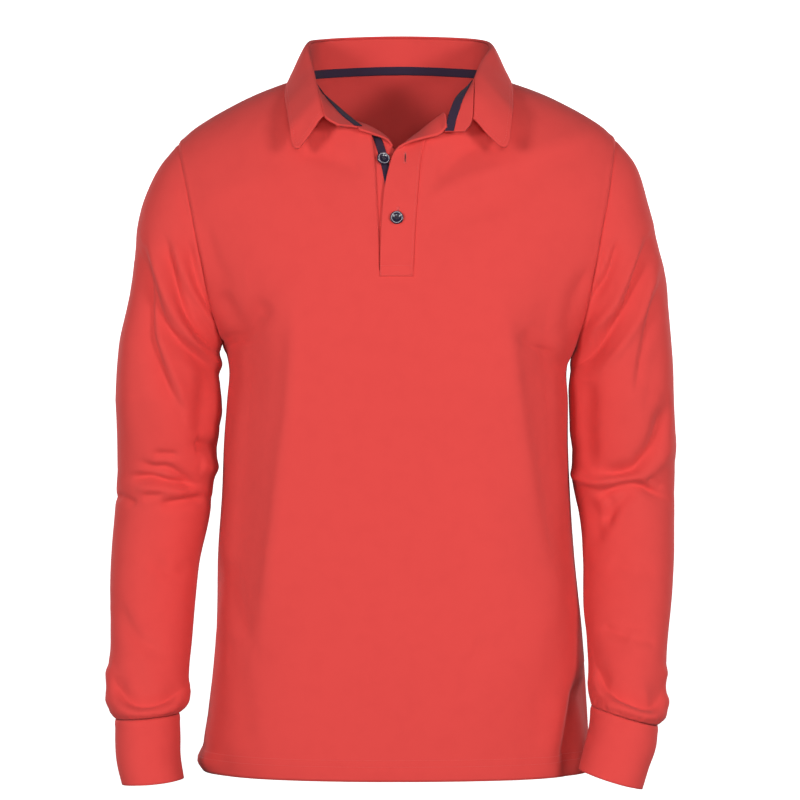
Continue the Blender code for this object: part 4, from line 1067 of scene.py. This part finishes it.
def evenly(path, normals, pitch):  # points a stitch apart along a path, with the way it runs
    run = runs(path)
    at = np.arange(pitch / 2, run[-1], pitch)

    def read(field, at):
        return np.stack([np.interp(at, run, field[:, k]) for k in range(3)], axis=1)
    way = unit(read(path, at + 0.5) - read(path, at - 0.5))
    return read(path, at), unit(read(normals, at)), way


ball = bmesh.new()
bmesh.ops.create_uvsphere(ball, u_segments=6, v_segments=4, radius=1)
oneStitch = bpy.data.meshes.new("oneStitch")
ball.to_mesh(oneStitch)
ball.free()
roundStitch = np.array([v.co[:] for v in oneStitch.vertices])


def addStitch(bm, middle, a, b, c):  # one bit of thread, by its three half axes
    shaped = middle + roundStitch[:, :1] * a + roundStitch[:, 1:2] * b + roundStitch[:, 2:] * c
    oneStitch.vertices.foreach_set("co", (shaped * mm).ravel())
    bm.from_mesh(oneStitch)


# rows of small threads laid on the cloth; each row is a path with its normals and its pitch
def makeStitches(name, rows, sewn):
    bm = bmesh.new()
    thread = sewing["thread"] / 2
    for path, normals, pitch in rows:
        for spot, up, way in zip(*evenly(path, normals, pitch)):
            addStitch(bm, spot + up * sewn["lift"], way * sewn["length"] / 2,
                      np.cross(up, way) * thread, up * thread)
    declare(addObject(name, bm, redThread))


def threadMaterial(name, colour):
    return principled(name, {"Base Color": colour, "Roughness": 0.6, "Sheen Weight": 0.3})[0]


redThread = threadMaterial("redThread", colours["thread"])
navyThread = threadMaterial("navyThread", colours["navyPale"])
# slitShade paints the shade inside a buttonhole's opening onto a solid bead
slitShade = threadMaterial("slitShade", colours["slit"])


def hemRows():
    rows = []
    for panel in panels.values():
        fromHem = panel["fromHem"][:40]
        cols = np.arange(fromHem.shape[1], dtype=float)
        for back in (1, 1 + panelFinish["needleGap"]):
            at = [np.interp(panelFinish["hem"] - back, fromHem[:, int(c)], np.arange(40))
                  for c in cols]
            rows.append((*onGrid(panel["points"], panel["normals"], at, cols), sewing["pitch"]))
    return rows


def leafRows():  # round the leaf's free edges
    grid, normals = leaf
    edge = sewing["leaf"]["in"]
    down, across = meanRun(grid), meanRun(grid, 1)
    edgeRow = np.interp(down[-1] - edge, down, np.arange(len(down)))
    first, last = np.interp((edge, across[-1] - edge), across, np.arange(len(across)))
    fall = np.linspace(3, edgeRow, 24)
    row = np.concatenate([fall, np.full(300, edgeRow), fall[::-1]])
    col = np.concatenate([np.full(24, first), np.linspace(first, last, 300), np.full(24, last)])
    return [(*onGrid(grid, normals, row, col), sewing["pitch"])]


def placketRows():  # up the seam, across the box twice, and up the box's free side
    grid, normals = placketTop
    last = grid.shape[1] - 1
    heights = (sewing["placket"]["topZ"],) + sewing["placket"]["boxZ"]
    top, high, low = np.interp(heights, grid[:, 6, 2], np.arange(len(grid)))
    lines = [(np.linspace(0.3, top, 90), np.full(90, 1.3))]
    lines += [(np.full(40, row), np.linspace(0.4, last - 0.4, 40)) for row in (high, low)]
    lines += [(np.linspace(low, high, 8), np.full(8, last - 0.8))]
    return [(*onGrid(grid, normals, *line), sewing["placketPitch"]) for line in lines]


makeStitches("hemStitches", hemRows(), sewing["hem"])
makeStitches("leafStitches", leafRows(), sewing["leaf"])
makeStitches("placketStitches", placketRows(), sewing["placket"])
print("sewing made")

# where each starts and ends in the camera's frame, and how many mm it stands open
buttonholes = {
    "buttonholeOpen": ((405.8, 152.5), (404.7, 163), 0.55),
    "buttonholeFastened": ((398.6, 208.5), (397, 222), 0.1),
    "buttonholeStand": ((456.6, 120), (458.6, 111.5), 0.35),
}
satin = {"pitch": 0.42, "lift": 1.1, "beside": 0.75}


def makeButtonhole(name, grid, normals):  # satin stitches round a slit, and a near-black bead laid in the slit as painted shade of the opening
    start, end, opened = buttonholes[name]
    start, end = nearestCell(grid, start), nearestCell(grid, end)
    path, ups = onGrid(grid, normals, *(np.linspace(start[k], end[k], 40) for k in (0, 1)))
    spots, up, way = evenly(path, ups, satin["pitch"])
    beside = unit(np.cross(up, way))
    bm = bmesh.new()
    for spot, out, ahead, across in zip(spots, up, way, beside):
        for hand in (-1, 1):
            middle = spot + out * satin["lift"] + across * hand * (0.5 * opened + satin["beside"])
            addStitch(bm, middle, across * 0.75, ahead * 0.24, out * 0.28)
    for k in (0, -1):  # the bars at both ends
        for step in range(-2, 3):
            middle = spots[k] + up[k] * satin["lift"] + beside[k] * step * 0.5
            addStitch(bm, middle, beside[k] * 0.3, way[k] * 0.7, up[k] * 0.3)
    # the near-black bead over the slit's middle is painted shade, standing in for the dark of the
    # opening
    before, half = len(bm.faces), len(up) // 2
    length = np.linalg.norm(spots[-1] - spots[0])
    addStitch(bm, (spots[0] + spots[-1]) / 2 + up[half] * 0.98, way[half] * length * 0.47,
              beside[half] * (0.28 + 0.9 * opened), up[half] * 0.5)
    for f in bm.faces[:][before:]:
        f.material_index = 1
    declare(addObject(name, bm, redThread, slitShade))


makeButtonhole("buttonholeOpen", *placketTop)
makeButtonhole("buttonholeFastened", *placketTop)
makeButtonhole("buttonholeStand", stand[0], -stand[1])  # on the stand's inner face
print("buttonholes made")


def plasticMaterial(name, colour, roughness):
    made, tree, shader = principled(name, {"Roughness": roughness, "Coat Weight": 0.5})
    coords = addNode(tree, "ShaderNodeTexCoord")
    swirl = addNode(tree, "ShaderNodeTexNoise", {"Scale": 350, "Distortion": 1.5})
    wire(coords, "Object", swirl, "Vector")
    paler = tuple(min(1, c * 1.6) for c in colour[:3]) + (1,)
    blend = addNode(tree, "ShaderNodeMix", {"A": colour, "B": paler}, data_type="RGBA")
    wire(swirl, "Fac", blend, "Factor")
    wire(blend, "Result", shader, "Base Color")
    return made


buttonNavy = plasticMaterial("buttonNavy", colours["navy"], 0.28)
buttonRim = plasticMaterial("buttonRim", colours["rim"], 0.35)

buttonCut = {
    "profile": [(0, 0.45), (2.3, 0.45), (3.1, 0.6), (3.8, 1.0), (4.4, 1.32), (4.85, 1.42),
                (4.95, 1.5), (5.45, 1.48), (5.55, 1.38), (6.1, 1.05), (6.45, 0.45), (6.5, 0),
                (6.3, -0.7), (5.4, -1.2), (0, -1.2)],
    "rimFrom": 4.85,
    "rimTo": 5.46,
    "hole": 0.72,
    "spread": 1.25,
    "thread": 0.62,
    "strand": 0.28,                   # half the gap between two strands
    "sides": 64,
    "sharp": 35,
}


def drill(blank, place):  # four holes through the dish, cut with rods
    bm = bmesh.new()
    for k in range(4):
        turn = math.pi / 4 + k * math.pi / 2
        spread = Vector((math.cos(turn), math.sin(turn), 0)) * buttonCut["spread"]
        bmesh.ops.create_cone(bm, cap_ends=True, segments=16, radius1=buttonCut["hole"],
                              radius2=buttonCut["hole"], depth=6, matrix=Matrix.Translation(spread))
    bmesh.ops.transform(bm, matrix=place, verts=bm.verts)
    rods = addObject("rods", bm)
    cut = blank.modifiers.new("holes", "BOOLEAN")
    cut.operation = "DIFFERENCE"
    cut.object = rods
    cut.solver = "EXACT"
    bpy.context.view_layer.update()
    seen = blank.evaluated_get(bpy.context.evaluated_depsgraph_get())
    drilled = bpy.data.meshes.new_from_object(seen)
    for thing in (rods, blank):
        bpy.data.objects.remove(thing)
    return drilled


def buttonThread(name, place):  # two double strands between the holes
    bm = bmesh.new()
    half, thread = buttonCut["spread"] / math.sqrt(2), buttonCut["thread"] / 2
    x, y, z = roundStitch.T
    for hand in (-1, 1):
        for strand in (-buttonCut["strand"], buttonCut["strand"]):
            shaped = np.stack([x * (half + 0.75), hand * half + strand + y * thread,
                               0.75 + z * thread - 0.5 * abs(x) ** 3], axis=1)
            whole = np.array([place @ Vector(p) for p in shaped])
            oneStitch.vertices.foreach_set("co", whole.ravel())
            bm.from_mesh(oneStitch)
    declare(addObject(name + "Thread", bm, navyThread))


# turned about its own axis, drilled, and set where its solid is
def makeButton(name, node, out, turned):
    corners = [v.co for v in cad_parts[node].data.vertices]
    centre = sum(corners, Vector()) / len(corners)
    bm = bmesh.new()
    ring = [bm.verts.new((r, 0, z)) for r, z in buttonCut["profile"]]
    edges = [bm.edges.new(pair) for pair in zip(ring, ring[1:])]
    bmesh.ops.spin(bm, geom=ring + edges, axis=(0, 0, 1), cent=(0, 0, 0), angle=2 * math.pi,
                   steps=buttonCut["sides"], use_merge=True)
    bmesh.ops.remove_doubles(bm, verts=bm.verts, dist=0.001)
    bmesh.ops.recalc_face_normals(bm, faces=bm.faces)
    for f in bm.faces:
        middle = f.calc_center_median()
        reach = math.hypot(middle.x, middle.y)
        if buttonCut["rimFrom"] < reach < buttonCut["rimTo"] and middle.z > 0.5:
            f.material_index = 1
    turn = Vector(out).to_track_quat("Z", "Y").to_matrix().to_4x4()
    turn = turn @ Matrix.Rotation(turned, 4, "Z")
    place = Matrix.Scale(mm, 4) @ Matrix.Translation(centre / mm) @ turn
    bmesh.ops.transform(bm, matrix=place, verts=bm.verts)
    mesh = drill(addObject(name + "Blank", bm, buttonNavy, buttonRim), place)
    mesh.shade_smooth()
    mesh.set_sharp_from_angle(angle=math.radians(buttonCut["sharp"]))
    piece = bpy.data.objects.new(name, mesh)
    bpy.context.scene.collection.objects.link(piece)
    declare(piece, node)
    buttonThread(name, place)


def outwardAt(strip, x, z):
    grid, normals = strip
    gap = (grid[..., 0] - x) ** 2 + (grid[..., 2] - z) ** 2
    return normals[np.unravel_index(np.argmin(gap), gap.shape)]


def standOutward():  # the way the stand's turned right end faces
    base, fold, edge, rise = collarRow(np.array([0.012, 0.022, 0.032]))
    way = unit(np.cross(rise[1], unit(base[2] - base[0])))
    return way * -np.sign(way[2])


makeButton("buttonUndone", "button_1", outwardAt(placketUnder, -17.4, -68), 0.5)
makeButton("buttonFastened", "button_2", outwardAt(placketTop, -2.9, -125), 0.2)
makeButton("buttonStand", "button_stand", standOutward(), 0.9)
print("buttons made")

studio = {  # in metres
    "floorZ": -0.98,
    "wallY": 1.5,
    "bend": 0.9,                      # radius where the floor turns up into the wall
    "floorLong": 7.5, "long": 12, "halfWide": 5,
    "sky": 0.05,
    "lamps": [("front", (0.1, -3.3, -0.1), (0, 0, -0.35), 0.6, 33),
              ("frontLeft", (-1.7, -2.7, 0.05), (0, 0, -0.35), 0.6, 41),
              ("frontRight", (1.7, -2.7, 0.05), (0, 0, -0.35), 0.6, 44),
              ("left", (-3.0, -0.1, -0.2), (0, 0, -0.35), 0.8, 15),
              ("right", (3.0, -0.1, -0.2), (0, 0, -0.35), 0.8, 15),
              ("behindLeft", (-1.8, 2.9, 0.3), (0, 0, -0.35), 1.2, 42),
              ("behindRight", (1.8, 2.9, 0.3), (0, 0, -0.35), 1.2, 42)],
}


def paleMaterial():
    made, tree, shader = principled("paleSweep", {
        "Base Color": (0.9, 0.9, 0.9, 1), "Roughness": 0.9,
        "Emission Color": (1, 1, 1, 1), "Emission Strength": 0.75})
    # seen from behind it is clear, so the shirt shows from every side
    behind = addNode(tree, "ShaderNodeNewGeometry")
    clear = addNode(tree, "ShaderNodeBsdfTransparent")
    either = addNode(tree, "ShaderNodeMixShader")
    wire(behind, "Backfacing", either, "Fac")
    wire(shader, "BSDF", either, 1)
    wire(clear, "BSDF", either, 2)
    wire(either, "Shader", tree.nodes["Material Output"], "Surface")
    return made


def makeSweep():
    bm = bmesh.new()
    bmesh.ops.create_grid(bm, x_segments=2, y_segments=40, size=1)
    radius, flat = studio["bend"], studio["floorLong"]
    for v in bm.verts:
        run = (v.co.y + 1) / 2 * studio["long"]
        y, z = studio["wallY"] - radius, studio["floorZ"]
        if run < flat:
            y += run - flat
        else:
            angle = min((run - flat) / radius, math.pi / 2)
            y += radius * math.sin(angle)
            z += radius * (1 - math.cos(angle)) + max(0, run - flat - radius * math.pi / 2)
        v.co = (v.co.x * studio["halfWide"], y, z)
    sweep = addObject("sweep", bm, paleMaterial())
    # the sweep is there for the camera alone, so the cloth keeps its own deep shade
    sweep.visible_diffuse = False
    sweep.visible_glossy = False
    sweep.visible_shadow = False


def makeWorld():  # white where the camera looks past the sweep, dim as a light
    world = bpy.context.scene.world or bpy.data.worlds.new("studio")
    bpy.context.scene.world = world
    world.use_nodes = True
    tree = world.node_tree
    background = tree.nodes["Background"]
    background.inputs["Color"].default_value = (1, 1, 1, 1)
    rays = addNode(tree, "ShaderNodeLightPath")
    strength = addNode(tree, "ShaderNodeMath", {1: 1 - studio["sky"], 2: studio["sky"]},
                       operation="MULTIPLY_ADD")
    wire(rays, "Is Camera Ray", strength, 0)
    wire(strength, 0, background, "Strength")


def place(name, data, spot, turn):
    holder = bpy.data.objects.new(name, data)
    holder.location = spot
    holder.rotation_euler = turn
    bpy.context.scene.collection.objects.link(holder)
    return holder


makeSweep()
makeWorld()
for name, spot, aim, size, power in studio["lamps"]:
    lamp = bpy.data.lights.new(name, "AREA")
    lamp.size = size
    lamp.energy = power
    way = Vector(aim) - Vector(spot)
    place(name, lamp, spot, way.to_track_quat("-Z", "Y").to_euler())
camera = bpy.data.cameras.new("camera")
camera.sensor_width = 36
camera.lens = camera.sensor_width * view["distance"] / view["frameWidth"]
bpy.context.scene.camera = place("camera", camera, (0, -view["distance"] * mm, view["height"] * mm),
                                 (math.pi / 2, 0, 0))
bpy.context.scene.view_settings.view_transform = "Standard"
print("studio ready")
